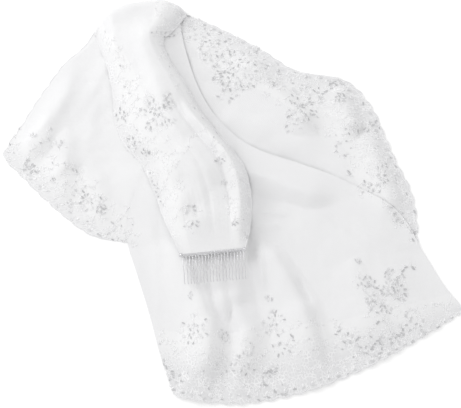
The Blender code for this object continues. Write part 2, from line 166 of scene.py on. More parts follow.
# The short tier's lower leaf, from the turn to its hem
SHORT_STATIONS = [Station(*row) for row in (
    (0.194, 0.922, 0.402, 0.968, 0.03, 0.25, 0.8),
    (0.17, 0.884, 0.449, 0.948, 0.018, 0.2, 1.2),
    (0.13, 0.844, 0.505, 0.918, 0.01, 0.12, 1.25),
    (0.098, 0.795, 0.572, 0.877, 0.005, 0.12, 1.45),
    (0.07, 0.748, 0.646, 0.826, 0, 0.12, 1.85),
    (0.037, 0.686, 0.751, 0.802, 0, 0.12, 2),
    (0.009, 0.641, 0.808, 0.738, 0, 0.4, 1.8),
    (0, 0.606, 0.84, 0.655, 0, 0.9, 1.1),
    (0.037, 0.56, 0.864, 0.592, 0, 1.4, 1.15),
    (0.103, 0.488, 0.892, 0.527, 0, 1.5, 1.15),
    (0.186, 0.416, 0.905, 0.458, 0, 1.3, 1),
    (0.266, 0.397, 0.906, 0.388, 0, 0.9, 0.9),
)]

# The long tier's lower leaf, from the turn to its hem
LONG_STATIONS = [Station(*row) for row in (
    (0.194, 0.922, 0.402, 0.968, 0.03, 0, 0),
    (0.22, 0.856, 0.415, 0.88, 0.015, 0, 0),
    (0.252, 0.776, 0.445, 0.776, 0.005, 0, 0),
    (0.279, 0.701, 0.489, 0.697, 0, 0, 0),
    (0.292, 0.627, 0.559, 0.632, 0, 0, 0),
    (0.286, 0.552, 0.662, 0.59, 0, 0, 0),
    (0.268, 0.478, 0.764, 0.545, 0, 0, 0),
    (0.264, 0.403, 0.871, 0.468, 0, 0, 0),
    (0.29, 0.313, 0.92, 0.376, -0.01, 0, 0),
    (0.319, 0.216, 0.964, 0.291, -0.03, 0, 0),
    (0.345, 0.117, 0.994, 0.246, -0.056, 0, 0),
    (0.376, 0.02, 1, 0.222, -0.082, 0, 0),
)]

# Folds across the spread: ends as shares of the spread, height as a share of the pile's
# and half width as a share of the spread's width
Fold = namedtuple("Fold", "from_x from_y to_x to_y height width")

SHORT_FOLDS = [Fold(*row) for row in (
    (0.275, 0.84, 0.32, 0.545, 0.2, 0.06), (0.12, 0.77, 0.075, 0.66, 0.24, 0.06),
    (0.135, 0.64, 0.13, 0.52, 0.16, 0.04), (0.205, 0.54, 0.215, 0.45, 0.1, 0.04),
    (0.55, 0.83, 0.65, 0.7, 0.32, 0.04), (0.75, 0.76, 0.765, 0.69, 0.3, 0.032),
    (0.815, 0.64, 0.85, 0.51, 0.32, 0.036), (0.5, 0.7, 0.66, 0.65, 0.12, 0.04),
)]

LONG_FOLDS = [Fold(*row) for row in (
    (0.352, 0.9, 0.38, 0.785, 0.74, 0.068), (0.38, 0.785, 0.422, 0.705, 0.82, 0.068),
    (0.422, 0.705, 0.475, 0.625, 0.7, 0.064), (0.67, 0.53, 0.552, 0.578, 0.84, 0.068),
    (0.64, 0.545, 0.83, 0.43, 0.22, 0.06), (0.64, 0.47, 0.85, 0.31, 0.26, 0.085),
    (0.385, 0.37, 0.447, 0.185, 0.48, 0.056), (0.447, 0.185, 0.427, 0.01, 0.54, 0.056),
    (0.508, 0.01, 0.53, 0.17, 0.34, 0.036), (0.53, 0.17, 0.494, 0.28, 0.28, 0.034),
    (0.585, 0.35, 0.645, 0.225, 0.38, 0.05), (0.645, 0.225, 0.687, 0.07, 0.44, 0.05),
    (0.77, 0.33, 0.83, 0.12, 0.28, 0.064), (0.88, 0.3, 0.925, 0.2, 0.16, 0.04),
    (0.372, 0.47, 0.405, 0.3, 0.36, 0.05), (0.422, 0.395, 0.45, 0.2, 0.42, 0.056),
    (0.465, 0.4, 0.475, 0.25, 0.42, 0.056), (0.5, 0.4, 0.505, 0.27, 0.4, 0.05),
)]

# Finer creases of the same cloth
SHORT_CREASES = [Fold(*row) for row in (
    (0.235, 0.88, 0.16, 0.7, 0.04, 0.02), (0.205, 0.76, 0.18, 0.6, 0.04, 0.016),
    (0.11, 0.72, 0.04, 0.62, 0.05, 0.014), (0.165, 0.6, 0.09, 0.54, 0.05, 0.016),
    (0.43, 0.93, 0.56, 0.8, 0.07, 0.01), (0.42, 0.9, 0.5, 0.76, 0.07, 0.01),
    (0.6, 0.79, 0.72, 0.76, 0.06, 0.01), (0.7, 0.72, 0.79, 0.68, 0.07, 0.011),
    (0.78, 0.6, 0.88, 0.56, 0.06, 0.01),
)]

LONG_CREASES = [Fold(*row) for row in (
    (0.4, 0.86, 0.54, 0.6, 0.06, 0.01), (0.5, 0.69, 0.64, 0.6, 0.05, 0.01),
    (0.54, 0.56, 0.61, 0.545, 0.06, 0.008), (0.56, 0.466, 0.62, 0.464, 0.06, 0.005),
    (0.545, 0.425, 0.61, 0.438, 0.05, 0.006), (0.56, 0.4, 0.572, 0.27, 0.06, 0.006),
    (0.44, 0.33, 0.484, 0.18, -0.08, 0.014), (0.484, 0.18, 0.462, 0, -0.08, 0.014),
    (0.64, 0.31, 0.674, 0.235, -0.08, 0.01), (0.674, 0.235, 0.718, 0.07, -0.08, 0.01),
    (0.33, 0.42, 0.345, 0.2, 0.05, 0.014), (0.76, 0.45, 0.9, 0.33, 0.05, 0.02),
)]

# Folds along the bundle: place across it at the comb and at the turn, the height as a
# share of the bundle's, the half width as a share across it, and the share of the
# bundle's length at which it has run out
BundleFold = namedtuple("BundleFold", "at_comb at_turn height width runs_out")

BUNDLE_FOLDS = [BundleFold(*row) for row in (
    (0.32, 0.74, 0.78, 0.26, 2),
    (0.88, 0.84, 0.84, 0.09, 0.6),
)]

BUNDLE_CREASES = [BundleFold(*row) for row in (
    (0.16, 0.22, 0.02, 0.06, 2),
    (0.55, 0.5, -0.03, 0.035, 0.55),
    (0.76, 0.74, -0.04, 0.025, 0.6),
)]

BUNDLE_RISE = [0.10, 0.42, 0.57, 0.58, 0.52, 0.45, 0.39, 0.34, 0.29, 0.26]
BUNDLE_BODY = 0.45
TURN_BODY = 0.78
FLATTENS_FROM = 0.6
LEFT_EDGE_RISE = 0.22
RIGHT_EDGE_RISE = [0.13, 0.13, 0.13, 0.13, 0.15, 0.20, 0.22, 0.24, 0.26, 0.26]
FOLD_FADE = 0.18
GATHER_DEPTH = 0.0004
GATHER_COUNT = 5
GATHER_REACH = 0.22
LEVEL_REACH = 0.16

# Small pleats that run out from the comb, and the soft unevenness of all the cloth
PLEAT_DEPTH = 0.0002
PLEAT_COUNT = 19
PLEAT_REACH = 0.30
PLEAT_WANDER = 0.03
SOFTNESS = 0.0011
SOFTNESS_SIZE = 0.026
WRINKLE = 0.00045
WRINKLE_SIZE = 0.009
NOISE_CELLS = 256
NOISE_START = 40
CREASE_FADE = 0.25

# The stage
SIGHT_TILT = radians(12)
CAMERA_AIM = -0.0018, -0.0024, 0
CAMERA_DISTANCE = 3.0
LENS = 185.4
SKY_STRENGTH = 0.865
KEY_PLACE = -1.45, 0.95, 1.24
KEY_POWER = 12.3
KEY_SIZE = 1.0
FLOOR_SIZE = 6
FLOOR_GAP = 0.0004


# The shape of the cloth
def smooth_step(value):
    value = np.clip(value, 0.0, 1.0)
    return value * value * (3 - 2 * value)


def soft_maximum(first, second, melt):
    """The greater of two, with the crease between them rounded off."""
    return (first + second + np.sqrt((first - second) ** 2 + melt ** 2)) / 2 - melt / 8


def along_table(table, shares):
    """A table's rows at shares of the way through it, on a smooth curve."""
    rows = np.array(table, float).reshape(len(table), -1)
    place = np.clip(shares, 0, 1) * (len(rows) - 1)
    first = np.minimum(place.astype(int), len(rows) - 2)
    part = (place - first)[:, None]
    before, start, end, after = (rows[np.clip(first + step, 0, len(rows) - 1)] for step in (-1, 0, 1, 2))
    slope_in, slope_out, rise = (end - before) / 2, (after - start) / 2, end - start
    return (start + slope_in * part + (3 * rise - 2 * slope_in - slope_out) * part ** 2
            + (slope_in + slope_out - 2 * rise) * part ** 3)


def soft_noise(x, y, size, seed):
    """Smooth unevenness from -1 to 1 over the plane."""
    values = np.random.default_rng(seed).uniform(-1, 1, (NOISE_CELLS, NOISE_CELLS))
    x, y = x / size + NOISE_START, y / size + NOISE_START
    column, row = np.floor(x).astype(int), np.floor(y).astype(int)
    over, up = smooth_step(x - column), smooth_step(y - row)
    corner = lambda down, right: values[(row + down) % NOISE_CELLS, (column + right) % NOISE_CELLS]
    low = corner(0, 0) * (1 - over) + corner(0, 1) * over
    high = corner(1, 0) * (1 - over) + corner(1, 1) * over
    return low * (1 - up) + high * up


def from_the_comb(stations):
    half_x = COMB_WIDTH / 2 * cos(radians(COMB_TURN)) / SPREAD_WIDTH
    half_y = COMB_WIDTH / 2 * sin(radians(COMB_TURN)) / SPREAD_DEPTH
    first = Station(COMB_X - half_x, COMB_Y - half_y, COMB_X + half_x, COMB_Y + half_y,
                    0.0, COMB_LEFT_LACE, COMB_RIGHT_LACE)
    return [first, *stations]


def plan(stations, shares, margin, laced, skew=0.0):
    """Places in plan over a whole leaf: x, y and the share across, a row for each share.

    With a skew, the rows bow out further left of their middle, more so towards the last.
    """
    values = along_table(stations, shares)
    left = values[:, 0:2] * (SPREAD_WIDTH, SPREAD_DEPTH)
    right = values[:, 2:4] * (SPREAD_WIDTH, SPREAD_DEPTH)
    length = np.linalg.norm(right - left, axis=1)
    inset = margin / length
    if laced:
        left_share = (values[:, 5] * LACE_WIDTH / length)[:, None]
        right_share = (values[:, 6] * LACE_WIDTH / length)[:, None]
        lace = np.arange(LACE_COLUMNS) / LACE_COLUMNS
        cloth = np.arange(CLOTH_COLUMNS + 1) / CLOTH_COLUMNS
        across = np.hstack([left_share * lace, left_share + (1 - left_share - right_share) * cloth,
                            1 - right_share * lace[::-1]])
    else:
        across = np.repeat(np.arange(ALL_COLUMNS + 1)[None] / ALL_COLUMNS, len(values), 0)
    across = inset[:, None] + (1 - 2 * inset[:, None]) * across
    x = left[:, :1] + (right - left)[:, :1] * across
    y = left[:, 1:] + (right - left)[:, 1:] * across
    bow = values[:, 4:5] * SPREAD_DEPTH * 4 * across * (1 - across)
    return x, y + bow * (1 + skew * shares[:, None] * (0.5 - across)), across


def distance_to(fold, x, y):
    """How far places are from a fold's line, in its half widths."""
    start = np.array((fold.from_x * SPREAD_WIDTH, fold.from_y * SPREAD_DEPTH))
    run = np.array((fold.to_x * SPREAD_WIDTH, fold.to_y * SPREAD_DEPTH)) - start
    share = np.clip(((x - start[0]) * run[0] + (y - start[1]) * run[1]) / (run @ run), 0, 1)
    right, up = x - start[0] - share * run[0], y - start[1] - share * run[1]
    side = (right * -run[1] + up * run[0]) / np.hypot(*run) / (fold.width * SPREAD_WIDTH)
    away = np.hypot(right, up) / (fold.width * SPREAD_WIDTH)
    return away * (1 + (FALL - 1) * smooth_step(side * 2)), share


def fold_height(folds, creases, x, y):
    height = np.zeros_like(x)
    for fold in folds:
        away, share = distance_to(fold, x, y)
        height = np.maximum(height, fold.height * PILE_HEIGHT * (np.exp(-away ** 2) - FOLD_FOOT))
    for crease in creases:
        away, share = distance_to(crease, x, y)
        ends = smooth_step(share / CREASE_FADE) * smooth_step((1 - share) / CREASE_FADE)
        height += crease.height * PILE_HEIGHT * np.exp(-away ** 2) * ends
    return height


def edge_drop(x, y, width):
    """How much of a fold is left near the edges of a leaf, which lie down."""
    outline = np.concatenate([np.stack([x[-1], y[-1]], 1), np.stack([x[:, 0], y[:, 0]], 1),
                              np.stack([x[:, -1], y[:, -1]], 1)])
    nearest = np.full(x.shape, 9.0)
    for edge_x, edge_y in outline[::2]:
        nearest = np.minimum(nearest, np.hypot(x - edge_x, y - edge_y))
    return EDGE_LIFT + (1 - EDGE_LIFT) * smooth_step(nearest / width)


class Pile:
    """The highest cloth so far over each small square of the spread."""

    def __init__(self):
        self.ground = CAD_CLOTH_WALL / 2 - LAYER_SPACING
        across = int(SPREAD_WIDTH / GRID_CELL) + 2 * PILE_MARGIN
        deep = int(SPREAD_DEPTH / GRID_CELL) + 2 * PILE_MARGIN
        self.highest = np.full((deep, across), self.ground)

    def lay(self, leaf):
        column = np.round(leaf[..., 0] / GRID_CELL).astype(int) + PILE_MARGIN
        row = np.round(leaf[..., 1] / GRID_CELL).astype(int) + PILE_MARGIN
        np.maximum.at(self.highest, (row, column), leaf[..., 2])

    def just_under(self, x, y):
        """The highest cloth right at places in plan, where an edge lies down on it."""
        level = self.highest
        for axis in (0, 1):
            level = np.maximum(level, np.maximum(np.roll(level, 1, axis), np.roll(level, -1, axis)))
        for axis in (0, 1):
            level = (np.roll(level, 1, axis) + level + np.roll(level, -1, axis)) / 3
        return self.between(level, x, y)

    def under(self, x, y):
        """The smooth level that cloth rests on at places in plan."""
        reach = DRAPE_REACH * SPREAD_WIDTH / GRID_CELL
        span = int(2 * reach) + 1
        level = np.full_like(self.highest, self.ground)
        for down in range(-span, span + 1):
            for right in range(-span, span + 1):
                slope = 1 - smooth_step(np.hypot(down, right) / reach - 1)
                if slope > 0:
                    moved = np.roll(self.highest, (down, right), (0, 1)) - self.ground
                    level = np.maximum(level, self.ground + moved * slope)
        shifts = range(-DRAPE_BLUR, DRAPE_BLUR + 1)
        level = sum(np.roll(level, (down, right), (0, 1)) for down in shifts for right in shifts)
        return self.between(level / len(shifts) ** 2, x, y)

    def between(self, level, x, y):
        column, row = x / GRID_CELL + PILE_MARGIN, y / GRID_CELL + PILE_MARGIN
        left, low = np.floor(column).astype(int), np.floor(row).astype(int)
        over, up = column - left, row - low
        below = level[low, left] * (1 - over) + level[low, left + 1] * over
        above = level[low + 1, left] * (1 - over) + level[low + 1, left + 1] * over
        return below * (1 - up) + above * up


def unevenness(x, y, seed):
    soft = SOFTNESS * soft_noise(x, y, SOFTNESS_SIZE, seed)
    return soft + WRINKLE * soft_noise(x, y, WRINKLE_SIZE, seed + 1)


def spread_leaf(stations, folds, creases, shares, pile, margin, laced, seed):
    x, y, across = plan(stations, shares, margin * (1 - shares), laced, 0.0 if laced else HEM_SKEW)
    drop = edge_drop(x, y, EDGE_DROP_WIDTH if laced else 2 * EDGE_DROP_WIDTH)
    turn_width = TURN_DROP_WIDTH if laced else RAW_TURN_WIDTH
    turn_drop = smooth_step(shares * SPREAD_DEPTH / turn_width)[:, None]
    own = fold_height(folds, creases, x, y) * drop * turn_drop
    rough = unevenness(x, y, seed) * drop * turn_drop
    outer = np.minimum(np.hypot(x - x[:, :1], y - y[:, :1]), np.hypot(x - x[:, -1:], y - y[:, -1:]))
    settled = np.sqrt(smooth_step(outer / EDGE_ROLL)) if laced else smooth_step(outer / LEFT_ROLL)
    settled = 1 - (1 - settled) * turn_drop
    edge_level = pile.just_under(x, y) + (EDGE_REST if laced else RAW_REST) * LAYER_SPACING
    floor = edge_level + (pile.under(x, y) + LAYER_SPACING - edge_level) * settled
    z = soft_maximum(floor, CAD_CLOTH_WALL / 2 + own, MELT)
    return np.stack([x, y, np.maximum(z + rough, CAD_CLOTH_WALL / 2)], -1)


def along_bundle(fold, share):
    """Where a fold runs across the bundle, and how much of it is left there."""
    left = 1 - smooth_step((share - fold.runs_out) / FOLD_FADE + 1)
    return fold.at_comb + (fold.at_turn - fold.at_comb) * share, left


def bundle_height(shares, across):
    """Height of the bundle over what it lies on."""
    share = shares[:, None]
    rise = along_table(BUNDLE_RISE, shares) * PILE_HEIGHT
    body = np.zeros_like(across)
    for fold in BUNDLE_FOLDS:
        centre, left = along_bundle(fold, share)
        raised = left * fold.height * np.exp(-((across - centre) / fold.width) ** 2)
        body = soft_maximum(body, raised, BODY_MELT)
    body = BUNDLE_BODY + (1 - BUNDLE_BODY) * body
    body += (TURN_BODY - body) * smooth_step((share - FLATTENS_FROM) / (1 - FLATTENS_FROM))
    grown = smooth_step(share / LEVEL_REACH)
    fine = GATHER_DEPTH * np.sin(2 * pi * GATHER_COUNT * across) * (1 - smooth_step(share / GATHER_REACH))
    wander = PLEAT_WANDER * soft_noise(share * 4 + 0 * across, across * 6, 1.0, 5)
    strength = 0.6 + 0.4 * soft_noise(across * 9, share * 3 + 0 * across, 1.0, 6)
    pleats = np.sin(2 * pi * PLEAT_COUNT * (across + wander)) * strength
    fine = fine + PLEAT_DEPTH * pleats * (1 - smooth_step(share / PLEAT_REACH))
    for crease in BUNDLE_CREASES:
        centre, left = along_bundle(crease, share)
        centre = centre + 0.01 * np.sin(share * 9)
        fine = fine + left * crease.height * PILE_HEIGHT * np.exp(-((across - centre) / crease.width) ** 2)
    left_edge = smooth_step(across / LEFT_EDGE_RISE)
    right_edge = smooth_step((1 - across) / along_table(RIGHT_EDGE_RISE, shares))
    return (rise * body + fine * grown) * left_edge * right_edge


def bundle_leaf(pile, layer, margin, laced, seed):
    shares = np.arange(BUNDLE_ROWS + 1) / BUNDLE_ROWS
    x, y, across = plan(from_the_comb(BUNDLE_STATIONS), shares, np.full_like(shares, margin), laced)
    width = np.hypot(x[:, -1] - x[:, 0], y[:, -1] - y[:, 0])[:, None]
    from_left, from_right = across * width - margin, (1 - across) * width - margin
    narrowed = smooth_step((shares - ROLL_NARROWS_FROM) / ROLL_NARROWS_OVER)[:, None]
    left_roll = LEFT_ROLL + (EDGE_ROLL - LEFT_ROLL) * narrowed
    settled = smooth_step(from_left / left_roll) * np.sqrt(smooth_step(from_right / EDGE_ROLL))
    edge_level = pile.just_under(x, y) + EDGE_REST * LAYER_SPACING
    z = edge_level + (pile.under(x, y) + LAYER_SPACING * layer - edge_level) * settled
    z += bundle_height(shares, across) * (1 - INNER_SLACK * (2 - layer))
    z += unevenness(x, y, seed) * smooth_step(shares / LEVEL_REACH)[:, None]
    return np.stack([x, y, z], -1)


def level_at_comb(leaf, height):
    settle = 1 - smooth_step(np.arange(len(leaf)) / BUNDLE_ROWS / LEVEL_REACH)
    leaf[..., 2] += (height - leaf[..., 2]) * settle[:, None]


def turn_rows(upper, lower):
    """The half round turn that joins the bundle's last row to the first row below it."""
    along = upper[-1] - upper[0]
    outward = np.array((-along[1], along[0], 0)) / np.hypot(along[0], along[1])
    radius = (upper[:, 2] - lower[:, 2])[:, None] / 2
    centre = (upper + lower) / 2
    angles = pi * np.arange(1, TURN_ROWS) / TURN_ROWS
    return np.array([centre + outward * radius * sin(angle) + np.array((0, 0, 1)) * radius * cos(angle)
                     for angle in angles])


def lengths_along(points):
    """How far each point is along the line through them all."""
    return np.concatenate([[0], np.cumsum(np.linalg.norm(np.diff(points, axis=0), axis=1))])


def lace_edge(strip, weights):
    """Draws the outer edge of a strip in to round scallops. Rows run along the edge."""
    edge, inside = strip[:, -1], strip[:, 0]
    bulge = np.abs(np.sin(pi * lengths_along(edge) / SCALLOP_PITCH)) ** SCALLOP_ROUNDNESS - 1
    width = np.linalg.norm((edge - inside)[:, :2], axis=1)
    depth = np.minimum(SCALLOP_DEPTH, width / 2) * bulge / np.maximum(width, 0.001) * weights
    share = (np.arange(strip.shape[1]) / (strip.shape[1] - 1))[None, :, None]
    drawn = inside[:, None] + (strip - inside[:, None]) * (1 + depth[:, None, None] * share ** 3)
    drawn[..., 2] = strip[..., 2]
    return drawn


# Making meshes
def deselect():
    bpy.ops.object.select_all(action="DESELECT")


def pick_up(piece):
    """Selects one piece alone, for the operators that follow."""
    deselect()
    piece.select_set(True)
    bpy.context.view_layer.objects.active = piece


def finish_piece(piece, material, nodes=()):
    piece.data.materials.clear()
    piece.data.materials.append(material)
    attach(piece, "root")
    if nodes:
        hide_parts(*nodes)
    return piece


def mesh_piece(name, points, faces, uv=None):
    mesh = bpy.data.meshes.new(name)
    mesh.from_pydata([tuple(p) for p in points], [], faces)
    if uv is not None:
        layer = mesh.uv_layers.new(name="cloth")
        loops = np.zeros(len(mesh.loops), int)
        mesh.loops.foreach_get("vertex_index", loops)
        layer.data.foreach_set("uv", np.asarray(uv)[loops].ravel())
    piece = bpy.data.objects.new(name, mesh)
    bpy.context.scene.collection.objects.link(piece)
    return piece


def grid_faces(rows, columns):
    corner = np.arange(rows * columns).reshape(rows, columns)
    faces = np.stack([corner[:-1, :-1], corner[:-1, 1:], corner[1:, 1:], corner[1:, :-1]], -1)
    return faces.reshape(-1, 4).tolist()


def centred(points):
    return points - (MIDDLE_X, MIDDLE_Y, 0)


def cloth_sheet(name, grid, wall):
    """A thin closed wall of cloth round a grid of points, with its own lengths as UV."""
    rows, columns = grid.shape[:2]
    along = np.linalg.norm(np.diff(grid, axis=0), axis=2).mean(1)
    across = np.linalg.norm(np.diff(grid, axis=1), axis=2).mean(0)
    v = np.concatenate([[0], np.cumsum(along)])
    u = np.concatenate([[0], np.cumsum(across)])
    uv = np.stack(np.broadcast_arrays(u[None, :], v[:, None]), -1).reshape(-1, 2)
    piece = mesh_piece(name, centred(grid.reshape(-1, 3)), grid_faces(rows, columns), uv)
    solid = piece.modifiers.new("wall", "SOLIDIFY")
    solid.thickness = wall
    solid.offset = 0
    pick_up(piece)
    bpy.ops.object.modifier_apply(modifier="wall")
    bpy.ops.object.shade_smooth_by_angle(angle=SMOOTH_ANGLE)
    return piece


# Finishes
def node_group(name, inputs, outputs):
    group = bpy.data.node_groups.new(name, "ShaderNodeTree")
    for label, kind, value in inputs:
        socket = group.interface.new_socket(name=label, in_out="INPUT", socket_type=kind)
        socket.default_value = value
    for label, kind in outputs:
        group.interface.new_socket(name=label, in_out="OUTPUT", socket_type=kind)
    return group, group.nodes.new("NodeGroupInput").outputs, group.nodes.new("NodeGroupOutput").inputs


def connect(tree, socket, value):
    """Gives a socket a link, or its own number or colour."""
    if isinstance(value, (int, float, tuple)):
        socket.default_value = value
    else:
        tree.links.new(value, socket)


def math_node(tree, operation, *values):
    node = tree.nodes.new("ShaderNodeMath")
    node.operation = operation
    for index, value in enumerate(values):
        connect(tree, node.inputs[index], value)
    return node.outputs[0]


def held_in(tree, value):
    """A value kept between 0 and 1."""
    return math_node(tree, "MINIMUM", math_node(tree, "MAXIMUM", value, 0.0), 1.0)


def mixed(tree, factor, first, second):
    """A colour between two others."""
    mix = tree.nodes.new("ShaderNodeMix")
    mix.data_type = "RGBA"
    for label, value in (("Factor", factor), ("A", first), ("B", second)):
        connect(tree, mix.inputs[label], value)
    return mix.outputs["Result"]


def pattern(tree, kind, place, **values):
    """A pattern node over the places given, with its own sizes."""
    node = tree.nodes.new("ShaderNodeTex" + kind)
    tree.links.new(place, node.inputs["Vector"])
    for label, value in values.items():
        connect(tree, node.inputs[label], value)
    return node


def cloth_lengths(tree):
    """Places on the cloth, measured along and across it."""
    place = tree.nodes.new("ShaderNodeUVMap")
    place.uv_map = "cloth"
    return place.outputs[0]


def split(tree, places):
    parts = tree.nodes.new("ShaderNodeSeparateXYZ")
    tree.links.new(places, parts.inputs[0])
    return parts.outputs


def net_group():
    """Fine diamond net: threads over the cloth's own lengths."""
    group, given, end = node_group(
        "Fine Net",
        [("Cell", "NodeSocketFloat", 0.0012), ("Thread", "NodeSocketFloat", 0.35)],
        [("Threads", "NodeSocketFloat")],
    )
    place = cloth_lengths(group)
    warp = pattern(group, "Noise", place, Scale=160)
    uneven = group.nodes.new("ShaderNodeVectorMath")
    uneven.operation = "MULTIPLY_ADD"
    for socket, value in zip(uneven.inputs, (warp.outputs["Color"], (0.0022, 0.0022, 0), place)):
        connect(group, socket, value)
    parts = split(group, uneven.outputs[0])
    scale = math_node(group, "DIVIDE", pi, given["Cell"])
    lines = []
    for operation in ("ADD", "SUBTRACT"):
        slant = math_node(group, operation, parts[0], parts[1])
        wave = math_node(group, "SINE", math_node(group, "MULTIPLY", slant, scale))
        lines.append(math_node(group, "SUBTRACT", 1.0, math_node(group, "ABSOLUTE", wave)))
    low = math_node(group, "SUBTRACT", 1.0, given["Thread"])
    above = math_node(group, "SUBTRACT", math_node(group, "MAXIMUM", *lines), low)
    share = math_node(group, "MULTIPLY", math_node(group, "DIVIDE", above, given["Thread"]), 3.0)
    group.links.new(held_in(group, share), end[0])
    return group


def mottle_group():
    """Slow change of colour over a surface, as washed cloth and worn metal have."""
    group, given, end = node_group(
        "Soft Mottle",
        [("Light", "NodeSocketColor", (1, 1, 1, 1)), ("Dark", "NodeSocketColor", (0.9, 0.9, 0.9, 1)),
         ("Size", "NodeSocketFloat", 0.03)],
        [("Color", "NodeSocketColor"), ("Value", "NodeSocketFloat")],
    )
    place = group.nodes.new("ShaderNodeTexCoord").outputs["Object"]
    noise = pattern(group, "Noise", place, Scale=math_node(group, "DIVIDE", 1.0, given["Size"]), Detail=3)
    group.links.new(mixed(group, noise.outputs["Fac"], given["Light"], given["Dark"]), end["Color"])
    group.links.new(noise.outputs["Fac"], end["Value"])
    return group


def ground_group():
    """The worked ground of lace: white branching lines with darker net between them."""
    group, given, end = node_group(
        "Lace Ground",
        [("Work", "NodeSocketColor", (1, 1, 1, 1)), ("Net", "NodeSocketColor", (0.85, 0.85, 0.86, 1)),
         ("Cloth", "NodeSocketColor", (0.9, 0.9, 0.9, 1)), ("Size", "NodeSocketFloat", 0.005)],
        [("Color", "NodeSocketColor"), ("Worked", "NodeSocketFloat")],
    )
    place = cloth_lengths(group)
    scale = math_node(group, "DIVIDE", 1.0, given["Size"])
    cells = pattern(group, "Voronoi", place, Scale=scale)
    cells.voronoi_dimensions = "2D"
    cells.feature = "DISTANCE_TO_EDGE"
    patches = pattern(group, "Noise", place, Scale=math_node(group, "MULTIPLY", scale, 0.35), Detail=2)
    patches.noise_dimensions = "2D"
    cell_edge = math_node(group, "MULTIPLY", cells.outputs["Distance"], 4.0)
    line = math_node(group, "MAXIMUM", math_node(group, "SUBTRACT", 1.0, cell_edge), 0.0)
    patch = math_node(group, "MULTIPLY_ADD", patches.outputs["Fac"], 3.0, -1.0)
    worked = held_in(group, math_node(group, "MULTIPLY", line, patch))
    ragged = math_node(group, "MULTIPLY_ADD", patches.outputs["Fac"], 1.4, -1.1)
    from_seam = math_node(group, "MULTIPLY_ADD", split(group, place)[0], 32.0, ragged)
    seam = held_in(group, from_seam)
    colour = mixed(group, worked, given["Net"], given["Work"])
    group.links.new(mixed(group, seam, given["Cloth"], colour), end["Color"])
    group.links.new(math_node(group, "MULTIPLY", worked, seam), end["Worked"])
    return group


def plain_material(name, settings):
    """A material with the shader's own even settings."""
    material = bpy.data.materials.new(name)
    material.use_nodes = True
    shader = material.node_tree.nodes["Principled BSDF"].inputs
    for label, value in settings.items():
        shader[label].default_value = value
    return material, material.node_tree, shader


def placed(tree, group, values):
    """One shared effect in a material, with values of its own."""
    node = tree.nodes.new("ShaderNodeGroup")
    node.node_tree = group
    for label, value in values.items():
        node.inputs[label].default_value = value
    return node.outputs


def effect_material(name, group, values, settings):
    material, tree, shader = plain_material(name, settings)
    effect = placed(tree, group, values)
    tree.links.new(effect["Color"], shader["Base Color"])
    return material, tree, shader, effect


def bump(tree, shader, height, strength, distance):
    node = tree.nodes.new("ShaderNodeBump")
    for label, value in (("Strength", strength), ("Distance", distance), ("Height", height)):
        connect(tree, node.inputs[label], value)
    tree.links.new(node.outputs["Normal"], shader["Normal"])


CLOTH_FEEL = {"Roughness": 0.75, "Sheen Weight": 0.25, "Sheen Roughness": 0.4}


def net_cloth(name, light, dark, cell, hole_alpha, thread):
    """Soft net: fine threads with slightly sheer holes between them."""
    mottle = {"Light": light, "Dark": dark, "Size": 0.04}
    material, tree, shader, effect = effect_material(name, MOTTLE, mottle, CLOTH_FEEL)
    threads = placed(tree, NET, {"Cell": cell, "Thread": thread})["Threads"]
    bump(tree, shader, threads, 0.15, 0.0001)
    alpha = math_node(tree, "MULTIPLY_ADD", threads, 1 - hole_alpha, hole_alpha)
    tree.links.new(alpha, shader["Alpha"])
    return material


def lace_cloth(name, work, net, cloth, size):
    """Net with its ground worked in white thread, more so away from the seam."""
    ground = {"Work": work, "Net": net, "Cloth": cloth, "Size": size}
    material, tree, shader, effect = effect_material(name, GROUND, ground, CLOTH_FEEL)
    bump(tree, shader, effect["Worked"], 0.25, 0.0003)
    tree.links.new(math_node(tree, "MULTIPLY_ADD", effect["Worked"], 0.03, 0.97), shader["Alpha"])
    return material


def wire_metal(name, light, dark, roughness):
    mottle = {"Light": light, "Dark": dark, "Size": 0.002}
    material, tree, shader, effect = effect_material(name, MOTTLE, mottle, {"Metallic": 1.0})
    tree.links.new(math_node(tree, "MULTIPLY_ADD", effect["Value"], 0.2, roughness), shader["Roughness"])
    return material


def stitched(name, light, dark):
    """Satin stitch: fine ridges of thread across each pad and round each cord."""
    mottle = {"Light": light, "Dark": dark, "Size": 0.01}
    feel = {"Roughness": 0.5, "Sheen Weight": 0.2}
    material, tree, shader, effect = effect_material(name, MOTTLE, mottle, feel)
    place = tree.nodes.new("ShaderNodeTexCoord").outputs["Object"]
    wave = pattern(tree, "Wave", place, Scale=900, Distortion=1.5)
    bump(tree, shader, wave.outputs["Fac"], 0.5, 0.0002)
    return material


def tinted(name, dark, light, roughness, metallic):
    """Small glossy trimmings, each with its own tint."""
    material, tree, shader = plain_material(name, {"Roughness": roughness, "Metallic": metallic})
    tint = tree.nodes.new("ShaderNodeAttribute")
    tint.attribute_name = "tint"
    tree.links.new(mixed(tree, tint.outputs["Fac"], dark, light), shader["Base Color"])
    return material


def grey(light, blue=0.0):
    """A grey as a colour, a little bluer where asked."""
    return light, light, light + blue, 1


NET = net_group()
MOTTLE = mottle_group()
GROUND = ground_group()
TULLE = net_cloth("soft_tulle", grey(0.90, 0.005), grey(0.87, 0.01), 0.0013, 0.92, 0.4)
LACE_NET = lace_cloth("lace_net", grey(0.93, 0.005), grey(0.78, 0.01), grey(0.885, 0.005), 0.0042)
EMBROIDERY = stitched("white_embroidery", grey(0.975, 0.005), grey(0.93, 0.01))
SEQUIN = tinted("clear_sequins", grey(0.53, 0.01), grey(0.86, 0.01), 0.30, 0.1)
BEAD = tinted("seed_beads", grey(0.62, 0.02), grey(0.95, 0.01), 0.2, 0.0)
SILVER = wire_metal("silver_wire", grey(0.84, 0.01), grey(0.56, 0.02), 0.18)


